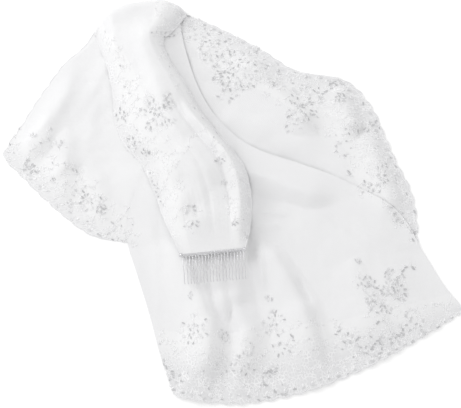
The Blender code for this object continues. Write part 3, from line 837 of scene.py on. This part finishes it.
# The cloth itself
def all_cloth():
    """Both tiers as grids of points, laid one on another from the bottom of the pile up."""
    shares = np.arange(SPREAD_ROWS + 1) / SPREAD_ROWS
    hem_start = 1 - HEM_LACE_DEPTH / LONG_DROP
    cloth_rows = SPREAD_ROWS - HEM_ROWS
    long_shares = np.concatenate([hem_start * np.arange(cloth_rows) / cloth_rows,
                                  hem_start + (1 - hem_start) * np.arange(HEM_ROWS + 1) / HEM_ROWS])
    pile = Pile()
    short_lower = spread_leaf(SHORT_STATIONS, SHORT_FOLDS, SHORT_CREASES, shares, pile, 0.0, True, 11)
    pile.lay(short_lower)
    long_lower = spread_leaf(LONG_STATIONS, LONG_FOLDS, LONG_CREASES, long_shares, pile,
                             INNER_MARGIN, False, 21)
    pile.lay(long_lower)
    long_upper = bundle_leaf(pile, 1, INNER_MARGIN, False, 31)
    short_upper = bundle_leaf(pile, 2, 0.0, True, 41)
    level_at_comb(short_upper, COMB_LEVEL)
    level_at_comb(long_upper, COMB_LEVEL - (CAD_CLOTH_WALL + CAD_LACE_WALL) / 2 - SEAM_GAP)
    short = np.concatenate([short_upper, turn_rows(short_upper[-1], short_lower[0]), short_lower])
    long = np.concatenate([long_upper, turn_rows(long_upper[-1], long_lower[0]), long_lower])
    return short, long


def dress_cloth(short, long):
    left_seam, right_seam = LACE_COLUMNS, LACE_COLUMNS + CLOTH_COLUMNS
    hem_row = len(long) - 1 - HEM_ROWS
    past_turn = smooth_step((np.arange(len(short)) - BUNDLE_ROWS - TURN_ROWS) / SCALLOP_GROWTH_ROWS)
    weights = BUNDLE_SCALLOP + (1 - BUNDLE_SCALLOP) * past_turn
    grids = {
        "short_veil": short[:, left_seam:right_seam + 1],
        "long_veil": long[:hem_row + 1],
        "left_lace_net": lace_edge(short[:, left_seam::-1], weights)[::-1],
        "right_lace_net": lace_edge(short[:, right_seam:], weights),
        "hem_lace_net": lace_edge(long[hem_row:].transpose(1, 0, 2), 1.0)[::-1],
    }
    kinds = {"tulle": (CLOTH_WALL, TULLE), "lace": (LACE_WALL, LACE_NET)}
    roles = [
        ("short_veil", "tulle", "short_tier", ["long_veil"], "folded"),
        ("long_veil", "tulle", "long_tier", ["short_veil"], "folded"),
        ("left_lace_net", "lace", "left_lace_edge", ["short_veil"], "folded"),
        ("right_lace_net", "lace", "right_lace_edge", ["short_veil"], "folded"),
        ("hem_lace_net", "lace", "hem_lace", ["long_veil"], "laid"),
    ]
    for name, slot, node, rests_on, held in roles:
        wall, material = kinds[slot]
        finish_piece(cloth_sheet(name, grids[name], wall), material, [node])
    trimmings = dress_lace(grids)


# The lace
# Places on the lace are given in steps across from just left of the short tier's tip and
# down from the far end of the spread, as seen along the line of sight from above it all
FIRST_ACROSS = 2
LAST_DOWN = 404
STEP_ACROSS = SPREAD_WIDTH / 458
STEP_DOWN = SPREAD_DEPTH / 402
ABOVE_ALL = 0.3

Motif = namedtuple("Motif", "form across down size turn")

LEFT_MOTIFS = [Motif(*row) for row in (
    ("flower", 158, 115, 38, 10), ("spray", 122, 100, 24, -80), ("cluster", 121, 116, 14, 0),
    ("spray", 124, 128, 22, -65), ("cluster", 132, 146, 14, 30), ("spray", 140, 152, 18, -20),
    ("dots", 145, 163, 32, -72), ("dots", 156, 194, 22, -65), ("vine", 168, 165, 40, 40),
    ("vine", 150, 178, 30, -50), ("cluster", 192, 213, 13, 20), ("cluster", 192, 228, 13, 80),
    ("cluster", 220, 163, 10, 0), ("sprig", 223, 183, 8, -80), ("sprig", 233, 224, 8, -80),
    ("sprig", 242, 240, 9, 30), ("vine", 118, 66, 26, -80), ("vine", 125, 84, 24, -60),
    ("vine", 228, 200, 26, -80), ("sprig", 31, 140, 9, 85), ("spray", 22, 160, 22, -40),
    ("cluster", 57, 147, 12, 0), ("cluster", 30, 172, 12, 0), ("sprig", 50, 183, 8, 10),
    ("sprig", 73, 177, 9, 60), ("vine", 45, 160, 24, -30), ("vine", 60, 190, 24, 20),
    ("flower", 86, 201, 28, 0), ("rosette", 101, 212, 12, 0), ("scroll", 108, 229, 16, 200),
    ("sprig", 67, 206, 9, 0), ("vine", 40, 150, 22, 60),
)]

RIGHT_MOTIFS = [Motif(*row) for row in (
    ("dots", 151, 35, 28, 22), ("dots", 153, 38, 26, 18), ("dots", 168, 4, 26, -38),
    ("cluster", 186, 26, 18, 0), ("cluster", 199, 35, 18, 40), ("vine", 170, 14, 24, 10),
    ("scroll", 205, 50, 16, 60), ("cluster", 220, 46, 18, 0), ("flower", 231, 72, 40, 12),
    ("cluster", 214, 62, 18, 20), ("cluster", 228, 97, 18, 30), ("cluster", 247, 85, 16, 0),
    ("spray", 236, 56, 24, 20), ("cluster", 258, 68, 16, 10), ("spray", 262, 80, 24, -15),
    ("sprig", 276, 74, 9, 30), ("scroll", 322, 86, 24, 160), ("scroll", 336, 88, 16, -10),
    ("rosette", 340, 100, 12, 0), ("flower", 300, 110, 30, 20), ("cluster", 292, 127, 16, 0),
    ("spray", 288, 92, 22, 15), ("sprig", 318, 102, 9, 20), ("scroll", 344, 152, 18, 100),
    ("cluster", 352, 130, 14, 0), ("cluster", 376, 128, 14, 30), ("sprig", 364, 134, 9, 60),
    ("flower", 383, 182, 26, 0), ("cluster", 366, 190, 15, 0), ("sprig", 347, 178, 9, 30),
    ("spray", 388, 204, 24, -60), ("vine", 356, 160, 30, -40), ("cluster", 397, 165, 14, 0),
    ("vine", 400, 215, 22, -70), ("vine", 372, 150, 26, -60), ("sprig", 412, 232, 9, -80),
)]

HEM_MOTIFS = [Motif(*row) for row in (
    ("flower", 194, 330, 28, 0), ("sprig", 188, 297, 8, 0), ("rosette", 222, 336, 12, 45),
    ("spray", 166, 356, 22, -70), ("cluster", 176, 379, 14, 0), ("vine", 192, 356, 26, -70),
    ("cluster", 226, 368, 18, 0), ("spray", 232, 360, 24, 30), ("cluster", 246, 368, 14, 20),
    ("scroll", 268, 380, 18, 30), ("scroll", 280, 386, 18, 190), ("cluster", 272, 372, 14, 0),
    ("vine", 240, 388, 28, 5), ("sprig", 267, 303, 10, 80), ("flower", 272, 325, 24, 10),
    ("cluster", 281, 350, 18, 0), ("sprig", 288, 340, 9, 30), ("flower", 382, 293, 42, 0),
    ("cluster", 372, 308, 15, 40), ("cluster", 396, 288, 15, 0), ("scroll", 406, 276, 18, 20),
    ("cluster", 359, 282, 14, 0), ("sprig", 355, 265, 8, 60), ("spray", 334, 326, 24, -50),
    ("cluster", 347, 341, 14, 0), ("scroll", 378, 330, 17, 10), ("scroll", 372, 348, 19, 190),
    ("scroll", 395, 331, 15, 160), ("scroll", 409, 318, 16, 30), ("scroll", 415, 336, 18, 200),
    ("scroll", 398, 348, 17, 170), ("spray", 352, 352, 22, 20), ("vine", 336, 366, 30, 20),
    ("vine", 430, 312, 30, 30), ("vine", 436, 326, 22, 20), ("vine", 206, 388, 24, 0),
    ("vine", 310, 372, 28, 10), ("cluster", 372, 338, 17, 30), ("cluster", 411, 325, 17, 0),
    ("cluster", 391, 340, 15, 60), ("scroll", 384, 341, 17, 80), ("scroll", 404, 330, 16, 120),
    ("scroll", 360, 344, 16, 40), ("cluster", 340, 334, 13, 0),
)]


# Stitching: a cord stands this far off the cloth, and is cut where the cloth drops away
CORD_LIFT = 0.0004
CORD_RADIUS = 0.00034
CORD_GAP = 0.006
STEEPEST = 0.35
SCATTER = 0.0009

# Lengths and widths of leaves and sequins
LEAF = 0.0044, 0.0018
SLIM_LEAF = 0.0044, 0.0017
CURL_LEAF = 0.0042, 0.0017
TINY_LEAF = 0.0038, 0.0015
BROAD_LEAF = 0.006, 0.003
SEQUIN_SIZE = 0.0046, 0.0019
LONG_SEQUIN = 0.0054, 0.0021
BEAD_SIZE = 0.0013

# From one to the next: sequins in a motif, petals round a flower, leaves in a cluster
SEQUIN_PITCH = 0.0056
PETAL_PITCH = 0.0095
PETAL_HALF_WIDTH = 0.0019
CLUSTER_PITCH = 0.0022
LEAF_STALK = 0.0022

# From one leaflet of the ground to the next, and how far under the top it may lie
GROUND_PITCH = 0.0125
GROUND_DEPTH = 0.002
LEAFLET_LENGTH = 0.011

# The rows of a lace strip that carry stitching, and how often its edge does
GROUND_FROM = 12
LEFT_EDGE_FROM = 70
RIGHT_EDGE_FROM = 4
LACED_ROWS = 148
EDGE_PITCH = 0.012
RIGHT_EDGE_PITCH = 0.013


class Surface:
    """The top of the dressed cloth, onto which the embroidery is laid."""

    def __init__(self, grids):
        points, faces = [], []
        for grid in grids:
            start = len(points)
            points += centred(grid.reshape(-1, 3)).tolist()
            faces += [[corner + start for corner in face] for face in grid_faces(*grid.shape[:2])]
        self.tree = BVHTree.FromPolygons(points, faces)

    def seen(self, across, down):
        """The place on the cloth along one line of sight."""
        x = (across - FIRST_ACROSS) * STEP_ACROSS - MIDDLE_X
        y = (LAST_DOWN - down) * STEP_DOWN - MIDDLE_Y
        way = Vector((0, sin(SIGHT_TILT), -cos(SIGHT_TILT)))
        return self.tree.ray_cast(Vector((x, y, 0)) - way * ABOVE_ALL, way)[0]

    def at(self, x, y):
        """The top of the cloth over a place in plan, and the way it faces."""
        place, normal, index, distance = self.tree.ray_cast(Vector((x, y, ABOVE_ALL)), Vector((0, 0, -1)))
        if place is None:
            return None, None
        return place, normal if normal.z > 0 else -normal


class Stitching:
    """Pads, sequins, beads and cords gathered for one lace edge."""

    def __init__(self, surface, seed):
        self.surface = surface
        self.noise = np.random.default_rng(seed)
        self.pads, self.sequins, self.beads, self.cords = [], [], [], []

    def lay(self, items, x, y, turn, length, width):
        place, normal = self.surface.at(x, y)
        if place is None or normal.z < STEEPEST:
            return
        along = Vector((cos(turn), sin(turn), 0))
        along = (along - normal * along.dot(normal)).normalized()
        items.append((place, along, normal.cross(along), normal, length, width))

    def cord(self, points):
        """A cord through points, cut where the cloth drops away or is too steep."""
        route = []
        for x, y in points:
            place, normal = self.surface.at(x, y)
            steep = place is None or normal.z < STEEPEST
            if steep or (route and (route[-1] - place).length > CORD_GAP):
                self.keep(route)
                route = []
            else:
                route.append(place + normal * CORD_LIFT)
        self.keep(route)

    def keep(self, route):
        if len(route) > 2:
            self.cords.append(route)

    def pad(self, x, y, turn, size):
        self.lay(self.pads, x, y, turn, *size)

    def sequin(self, x, y, turn, size=SEQUIN_SIZE):
        turn += self.noise.uniform(-0.5, 0.5)
        scale = self.noise.uniform(0.75, 1.2)
        x += self.noise.uniform(-SCATTER, SCATTER)
        y += self.noise.uniform(-SCATTER, SCATTER)
        self.lay(self.sequins, x, y, turn, size[0] * scale, size[1] * scale)

    def bead(self, x, y):
        self.lay(self.beads, x, y, 0.0, BEAD_SIZE, BEAD_SIZE)

    def chance(self, share):
        return self.noise.random() < share


def off(x, y, reach, angle):
    """The place at a reach from another in one direction."""
    return x + reach * cos(angle), y + reach * sin(angle)


def aside(x, y, reach, angle):
    """The place at a reach to the right of one that faces in a direction."""
    return x + reach * sin(angle), y - reach * cos(angle)


def ring(x, y, radius, turn, count):
    for index in range(count):
        angle = turn + 2 * pi * index / count
        yield *off(x, y, radius, angle), angle


def curve_of(x, y, turn, length, bend, count):
    """Points and directions along an arc that starts at a place."""
    places = []
    for step in range(count + 1):
        angle = turn + bend * (step / count - 0.5)
        places.append((x, y, angle))
        x, y = off(x, y, length / count, angle)
    return places


def flower(work, x, y, size, turn):
    """Petals of sequins and satin stitch, uneven as hand work is, round a light heart."""
    radius = size / 2
    petals = max(5, round(2 * pi * radius * 0.6 / PETAL_PITCH))
    for petal in range(petals):
        angle = turn + 2 * pi * (petal + work.noise.uniform(-0.18, 0.18)) / petals
        bend = work.noise.uniform(-0.3, 0.3)
        reach = radius * work.noise.uniform(0.88, 1.1)
        steps = max(2, round(reach / SEQUIN_PITCH))
        for step in range(steps):
            share = (step + 0.8) / steps
            lean = angle + bend * share
            side = PETAL_HALF_WIDTH * (1 if (step + petal) % 2 else -1) * (0.4 + share)
            place = aside(*off(x, y, reach * share, lean), -side, lean)
            if work.chance(0.8):
                work.sequin(*place, lean + 0.5 * (1 if step % 2 else -1))
            work.pad(*aside(*place, 0.003, lean), lean + 0.2, SLIM_LEAF)
            if step > 1 and work.chance(0.6):
                work.sequin(*aside(*place, 2.4 * side, lean), lean - 0.4)
        tip_x, tip_y = off(x, y, reach * 0.9, angle + bend)
        work.cord([(tip_x + radius * (0.2 * cos(t) * cos(angle) - 0.16 * sin(t) * sin(angle)),
                    tip_y + radius * (0.2 * cos(t) * sin(angle) + 0.16 * sin(t) * cos(angle)))
                   for t in np.linspace(-2.2, 2.2, 8)])
    for px, py, angle in ring(x, y, radius * 0.1, turn, 3):
        work.bead(px, py)


def rosette(work, x, y, size, turn):
    for px, py, angle in ring(x, y, size * 0.36, turn, 7):
        work.sequin(px, py, angle + 1.0)
        work.pad(px, py, angle + 0.5, (size * 0.34, size * 0.16))
    for px, py, angle in ring(x, y, size * 0.12, turn, 3):
        work.sequin(px, py, angle)


def cluster(work, x, y, size, turn):
    """A loose handful of leaves and sequins, no two alike."""
    count = max(5, int(size / CLUSTER_PITCH))
    for index in range(count):
        angle = turn + 2.4 * index
        reach = size * 0.52 * ((index + 0.5) / count) ** 0.5
        place = x + 1.15 * reach * cos(angle), y + 0.85 * reach * sin(angle)
        if work.chance(0.75):
            work.sequin(*place, angle + work.noise.uniform(-0.8, 0.8))
        lean = angle + work.noise.uniform(-0.6, 0.6)
        work.pad(*off(*place, LEAF_STALK, lean), lean, SLIM_LEAF)
    angles = np.linspace(turn, turn + 3.4, 10)
    work.cord([(x + size * 0.5 * cos(t), y + size * 0.42 * sin(t)) for t in angles])


def sprig(work, x, y, size, turn):
    for side in (-0.8, 0, 0.8):
        place = off(x, y, size * 0.4, turn + side)
        work.pad(*place, turn + side, (size * 0.5, size * 0.2))
        work.sequin(*place, turn + side + 0.4)
    work.bead(x, y)


def spray(work, x, y, size, turn):
    """A bent stem with sequinned leaves on both sides."""
    route = curve_of(x, y, turn, size, 0.9, 12)
    work.cord([place[:2] for place in route])
    for index in range(1, 12):
        px, py, angle = route[index]
        lean = angle + (0.85 if index % 2 else -0.85)
        tip = off(px, py, size * (0.10 + 0.06 * sin(index * 1.7)), lean)
        work.pad(*tip, lean, LEAF)
        if work.chance(0.6):
            work.sequin(*tip, lean + 0.5)
    work.sequin(*route[-1])


def vine(work, x, y, size, turn):
    """White embroidery alone: a waved stem with leaves and hardly a sequin."""
    route = []
    for step in range(19):
        share = step / 18
        wave = 0.12 * size * sin(2 * pi * share * 1.5)
        route.append(aside(*off(x, y, size * share, turn), -wave, turn))
    work.cord(route)
    for index in range(1, 18, 2):
        place = route[index]
        lean = turn + (1.0 if index % 4 == 1 else -1.0)
        work.pad(*off(*place, 0.0024, lean), lean, LEAF)
        if work.chance(0.15):
            work.sequin(*place, lean, (0.0028, 0.0014))


def leaflet(work, x, y, size, turn):
    """A bit of the white ground: two or three tiny leaves on a bent thread."""
    route = curve_of(x, y, turn, size, 1.6, 6)
    work.cord([place[:2] for place in route])
    for index in (2, 4, 6):
        px, py, angle = route[index]
        lean = angle + (0.9 if index % 4 else -0.9)
        work.pad(*off(px, py, 0.002, lean), lean, TINY_LEAF)
    if work.chance(0.22):
        work.sequin(x, y, turn, (0.0026, 0.0014))


def scroll(work, x, y, size, turn):
    """An open curl of sequins laid end to end beside a cord."""
    route = []
    for step in range(23):
        share = step / 22
        angle = turn + 3.6 * share
        route.append((*off(x, y, size * (0.5 - 0.18 * share), angle), angle + pi / 2))
    work.cord([place[:2] for place in route])
    length = 0
    for index in range(1, 23):
        length += hypot(route[index][0] - route[index - 1][0], route[index][1] - route[index - 1][1])
        if length > SEQUIN_PITCH * 0.9:
            length = 0
            if work.chance(0.85):
                work.sequin(*route[index], LONG_SEQUIN)
            px, py, angle = route[index]
            work.pad(*aside(px, py, size * 0.13, angle), angle - 1.0, CURL_LEAF)


def dots(work, x, y, size, turn):
    """A close line of sequins with a cord beside it."""
    count = int(size / SEQUIN_PITCH)
    for index in range(count):
        place = off(x, y, size * (index / count), turn)
        if work.chance(0.85):
            work.sequin(*place, turn + 0.5 * (-1) ** index, (0.0032, 0.0017))
    line = [off(x, y, size * share, turn) for share in np.linspace(0, 1, 20)]
    work.cord([(px, py + 0.002) for px, py in line])


FORMS = {form.__name__: form for form in (flower, rosette, cluster, sprig, spray, vine, scroll, dots)}


def place_motifs(work, motifs):
    for motif in motifs:
        place = work.surface.seen(motif.across, motif.down)
        if place is not None:
            FORMS[motif.form](work, place.x, place.y, motif.size * STEP_ACROSS, radians(motif.turn))


def pad_shape():
    """One embroidered pad, modelled once: a leaf with a raised middle."""
    deselect()
    bpy.ops.mesh.primitive_circle_add(vertices=10, radius=0.5, fill_type="NGON")
    bpy.ops.object.mode_set(mode="EDIT")
    for rise, narrower in ((0.55, (0.72, 0.6, 1)), (0.35, (0.45, 0.35, 1))):
        bpy.ops.mesh.extrude_region_move(TRANSFORM_OT_translate={"value": (0, 0, rise)})
        bpy.ops.transform.resize(value=narrower)
    bpy.ops.object.mode_set(mode="OBJECT")
    return taken_shape("pad")


def sequin_shape():
    """One sequin, modelled once: a thin eight-sided dish."""
    deselect()
    bpy.ops.mesh.primitive_cylinder_add(vertices=8, radius=0.5, depth=0.3, location=(0, 0, 0.15))
    bpy.ops.object.mode_set(mode="EDIT")
    bpy.ops.mesh.select_all(action="DESELECT")
    bpy.ops.object.mode_set(mode="OBJECT")
    for face in bpy.context.object.data.polygons:
        face.select = face.normal.z > 0.9
    bpy.ops.object.mode_set(mode="EDIT")
    bpy.ops.mesh.inset(thickness=0.22, depth=-0.16)
    bpy.ops.object.mode_set(mode="OBJECT")
    return taken_shape("sequin")


def bead_shape():
    """One seed bead, modelled once."""
    deselect()
    bpy.ops.mesh.primitive_ico_sphere_add(subdivisions=1, radius=0.5, location=(0, 0, 0.4))
    return taken_shape("bead")


def taken_shape(name):
    """The points and faces of the shape that was just modelled, which is then removed."""
    item = bpy.context.object
    item.name = name
    points = np.array([item.matrix_world @ vertex.co for vertex in item.data.vertices])
    faces = [list(face.vertices) for face in item.data.polygons]
    bpy.data.objects.remove(item)
    return points, faces


def copied(name, shape, items, thickness, lift):
    """Copies of one small shape, laid on the cloth and joined, each with its own tint."""
    points, faces = shape
    tints = np.random.default_rng(len(items)).uniform(0, 1, len(items))
    all_points, all_faces, all_uv = [], [], []
    for place, along, across, normal, length, width in items:
        start = len(all_points)
        for x, y, z in points:
            in_plan = place + along * (x * length) + across * (y * width)
            all_points.append(in_plan + normal * (z * thickness + lift))
            all_uv.append((x * length, y * width))
        all_faces += [[corner + start for corner in face] for face in faces]
    piece = mesh_piece(name, all_points, all_faces, all_uv)
    tint = piece.data.attributes.new("tint", "FLOAT", "POINT")
    tint.data.foreach_set("value", np.repeat(tints, len(points)))
    return piece


def embroider(name, work, pad, sequin, bead):
    """The joined pieces of one lace edge."""
    made = []
    for part, shape, items, thickness, lift, material, smooth in (
        ("pads", pad, work.pads, 0.0007, 0.0002, EMBROIDERY, True),
        ("sequins", sequin, work.sequins, 0.0009, 0.0008, SEQUIN, False),
        ("beads", bead, work.beads, 0.0012, 0.0003, BEAD, True),
    ):
        piece = copied(f"{name}_{part}", shape, items, thickness, lift)
        if smooth:
            piece.data.shade_smooth()
        made.append(finish_piece(piece, material))
    cords = wires(f"{name}_cords", work.cords, CORD_RADIUS, 1)
    return [*made, finish_piece(cords, EMBROIDERY)]


def edge_work(work, strip, first, last, every):
    """A cord along the outer edge of a lace strip and sequins beside it between two rows."""
    edge, inner = centred(strip[:, -2]), centred(strip[:, -5])
    work.cord(edge[:, :2])
    travelled = lengths_along(edge)
    for stop in np.arange(travelled[first], travelled[last], every):
        index = min(max(int(np.searchsorted(travelled, stop)), 1), len(edge) - 1)
        run = edge[index] - edge[index - 1]
        turn = float(np.arctan2(run[1], run[0]))
        share = work.noise.uniform(0.1, 1.0)
        x, y, z = edge[index] + (inner[index] - edge[index]) * share
        work.sequin(x, y, turn + work.noise.uniform(-0.5, 0.5))
        x, y, z = inner[index]
        work.pad(x, y, turn + 1.2, BROAD_LEAF)


def fill_ground(work, strip, first, last):
    """Small white leaves all over a lace strip between two rows, where it lies on top."""
    travelled = lengths_along(centred(strip[:, strip.shape[1] // 2]))
    for stop in np.arange(travelled[first], travelled[last], GROUND_PITCH):
        index = min(int(np.searchsorted(travelled, stop)), len(strip) - 1)
        row = centred(strip[index])
        width = np.linalg.norm(row[-1] - row[0])
        for count in range(int(width / GROUND_PITCH)):
            share = (count + work.noise.uniform(0.2, 0.8)) * GROUND_PITCH / width
            x, y, z = row[int(share * (len(row) - 1))]
            place, normal = work.surface.at(x, y)
            if place is not None and abs(place.z - z) < GROUND_DEPTH:
                leaflet(work, x, y, LEAFLET_LENGTH, work.noise.uniform(0, 2 * pi))


def dress_lace(grids):
    """Embroiders each lace edge. Rows are given as the first and last that carry work."""
    surface = Surface([grids[name] for name in grids])
    shapes = pad_shape(), sequin_shape(), bead_shape()
    past_turn = BUNDLE_ROWS + TURN_ROWS
    left_from, right_from = past_turn + LEFT_EDGE_FROM, past_turn + RIGHT_EDGE_FROM
    tier_end, hem_end = past_turn + LACED_ROWS, len(grids["hem_lace_net"]) - 2
    made = {}
    for seed, name, motifs, way, ground_from, edge_from, last, every in (
        (1, "left_lace", LEFT_MOTIFS, -1, GROUND_FROM, left_from, tier_end, EDGE_PITCH),
        (2, "right_lace", RIGHT_MOTIFS, 1, GROUND_FROM, right_from, tier_end, RIGHT_EDGE_PITCH),
        (3, "hem_lace", HEM_MOTIFS, -1, 1, 1, hem_end, EDGE_PITCH),
    ):
        work = Stitching(surface, seed)
        place_motifs(work, motifs)
        strip = grids[name + "_net"][::way]
        fill_ground(work, strip, ground_from, last)
        edge_work(work, strip, edge_from, last, every)
        made[name + "_net"] = embroider(name, work, *shapes)
    return made


# The wire comb
def wires(name, routes, radius, resolution):
    """Round wires along smooth routes, as one mesh."""
    curve = bpy.data.curves.new(name, "CURVE")
    curve.dimensions = "3D"
    curve.bevel_depth = radius
    curve.bevel_resolution = resolution
    curve.use_fill_caps = True
    for route in routes:
        spline = curve.splines.new("POLY")
        spline.points.add(len(route) - 1)
        for point, place in zip(spline.points, route):
            point.co = (*place, 1)
    item = bpy.data.objects.new(name, curve)
    bpy.context.scene.collection.objects.link(item)
    pick_up(item)
    bpy.ops.object.convert(target="MESH")
    bpy.ops.object.shade_smooth_by_angle(angle=SMOOTH_ANGLE)
    return bpy.context.object


def dress_comb(short):
    row = centred(short[0])
    left, right = Vector(row[0]), Vector(row[-1])
    along = (right - left).normalized()
    teeth_way = Vector((along.y, -along.x, 0))
    up = Vector((0, 0, 1))
    middle = (left + right) / 2 - teeth_way * ROD_INSET
    low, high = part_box("comb")
    middle.z = high.z - KNOB_RADIUS
    start = middle - along * COMB_WIDTH / 2

    rod_route = [start + along * COMB_WIDTH * step / ROD_STEPS for step in range(ROD_STEPS + 1)]
    finish_piece(wires("comb_rod", [rod_route], ROD_RADIUS, 4), SILVER, ["comb"])

    count = int(COMB_WIDTH / TOOTH_PITCH)
    first = (COMB_WIDTH - (count - 1) * TOOTH_PITCH) / 2
    tip_level = low.z + TIP_RISE
    noise = np.random.default_rng(3)
    routes = []
    for index in range(count):
        root = start + along * (first + index * TOOTH_PITCH)
        tip = root + teeth_way * (TOOTH_LENGTH + noise.uniform(*TOOTH_CUT))
        lean = noise.uniform(-TOOTH_LEAN, TOOTH_LEAN)
        route = []
        for step in range(TOOTH_STEPS + 1):
            share = step / TOOTH_STEPS
            place = root.lerp(tip, share) + along * (lean * share + TOOTH_WAVE * sin(4 * pi * share))
            place.z = root.z + (tip_level - root.z) * share + TOOTH_ARCH * sin(pi * share)
            route.append(place)
        routes.append(route)
    finish_piece(wires("comb_teeth", routes, TOOTH_RADIUS, 2), SILVER)

    first_turn = int(count * WRAP_START)
    route = []
    for step in range((count - 1 - first_turn) * WRAP_STEPS + 1):
        angle = 2 * pi * step / WRAP_STEPS
        offset = (up * cos(angle) + teeth_way * sin(angle)) * (ROD_RADIUS + WRAP_RADIUS * 0.6)
        distance = first + TOOTH_PITCH * (first_turn + WRAP_LEAD + step / WRAP_STEPS)
        route.append(start + along * distance + offset)
    finish_piece(wires("comb_winding", [route], WRAP_RADIUS, 2), SILVER)

    for index, place in enumerate((start, start + along * COMB_WIDTH)):
        deselect()
        bpy.ops.mesh.primitive_uv_sphere_add(segments=20, ring_count=12, radius=KNOB_RADIUS)
        knob = bpy.context.object
        knob.name = f"comb_knob_{index + 1}"
        knob.data.transform(Matrix.Translation(place))
        knob.data.shade_smooth()
        finish_piece(knob, SILVER)


# Floor, light and camera
def dress_stage():
    deselect()
    bpy.ops.mesh.primitive_plane_add(size=FLOOR_SIZE, location=(0, 0, -FLOOR_GAP))
    floor = bpy.context.object
    floor.name = "floor"
    finish, tree, shader = plain_material("pale_floor", {
        "Base Color": grey(0.93), "Roughness": 0.9, "Specular IOR Level": 0.0,
        "Emission Color": grey(1), "Emission Strength": 0.15,
    })
    floor.data.materials.append(finish)
    floor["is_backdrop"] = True

    scene = bpy.context.scene
    scene.view_settings.view_transform = "Standard"
    scene.world = bpy.data.worlds.new("studio")
    scene.world.use_nodes = True
    sky = scene.world.node_tree.nodes["Background"].inputs
    sky["Color"].default_value = grey(1)
    sky["Strength"].default_value = SKY_STRENGTH

    light = bpy.data.lights.new("key", "AREA")
    light.energy = KEY_POWER
    light.size = KEY_SIZE
    lamp = bpy.data.objects.new("key", light)
    lamp.location = KEY_PLACE
    lamp.rotation_mode = "QUATERNION"
    lamp.rotation_quaternion = (-Vector(KEY_PLACE)).to_track_quat("-Z", "Y")
    scene.collection.objects.link(lamp)

    camera = bpy.data.cameras.new("camera")
    camera.sensor_width = 36
    camera.lens = LENS
    camera.clip_start = 0.1
    camera.clip_end = 20
    view = bpy.data.objects.new("camera", camera)
    back = Vector((0, -sin(SIGHT_TILT), cos(SIGHT_TILT)))
    view.location = Vector(CAMERA_AIM) + back * CAMERA_DISTANCE
    view.rotation_euler = (SIGHT_TILT, 0, 0)
    scene.collection.objects.link(view)
    scene.camera = view


short, long = all_cloth()
dress_cloth(short, long)
dress_comb(short)
dress_stage()

sizes = {"cad": [list(corner) for corner in cad_box], "visual": [list(corner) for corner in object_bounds()]}
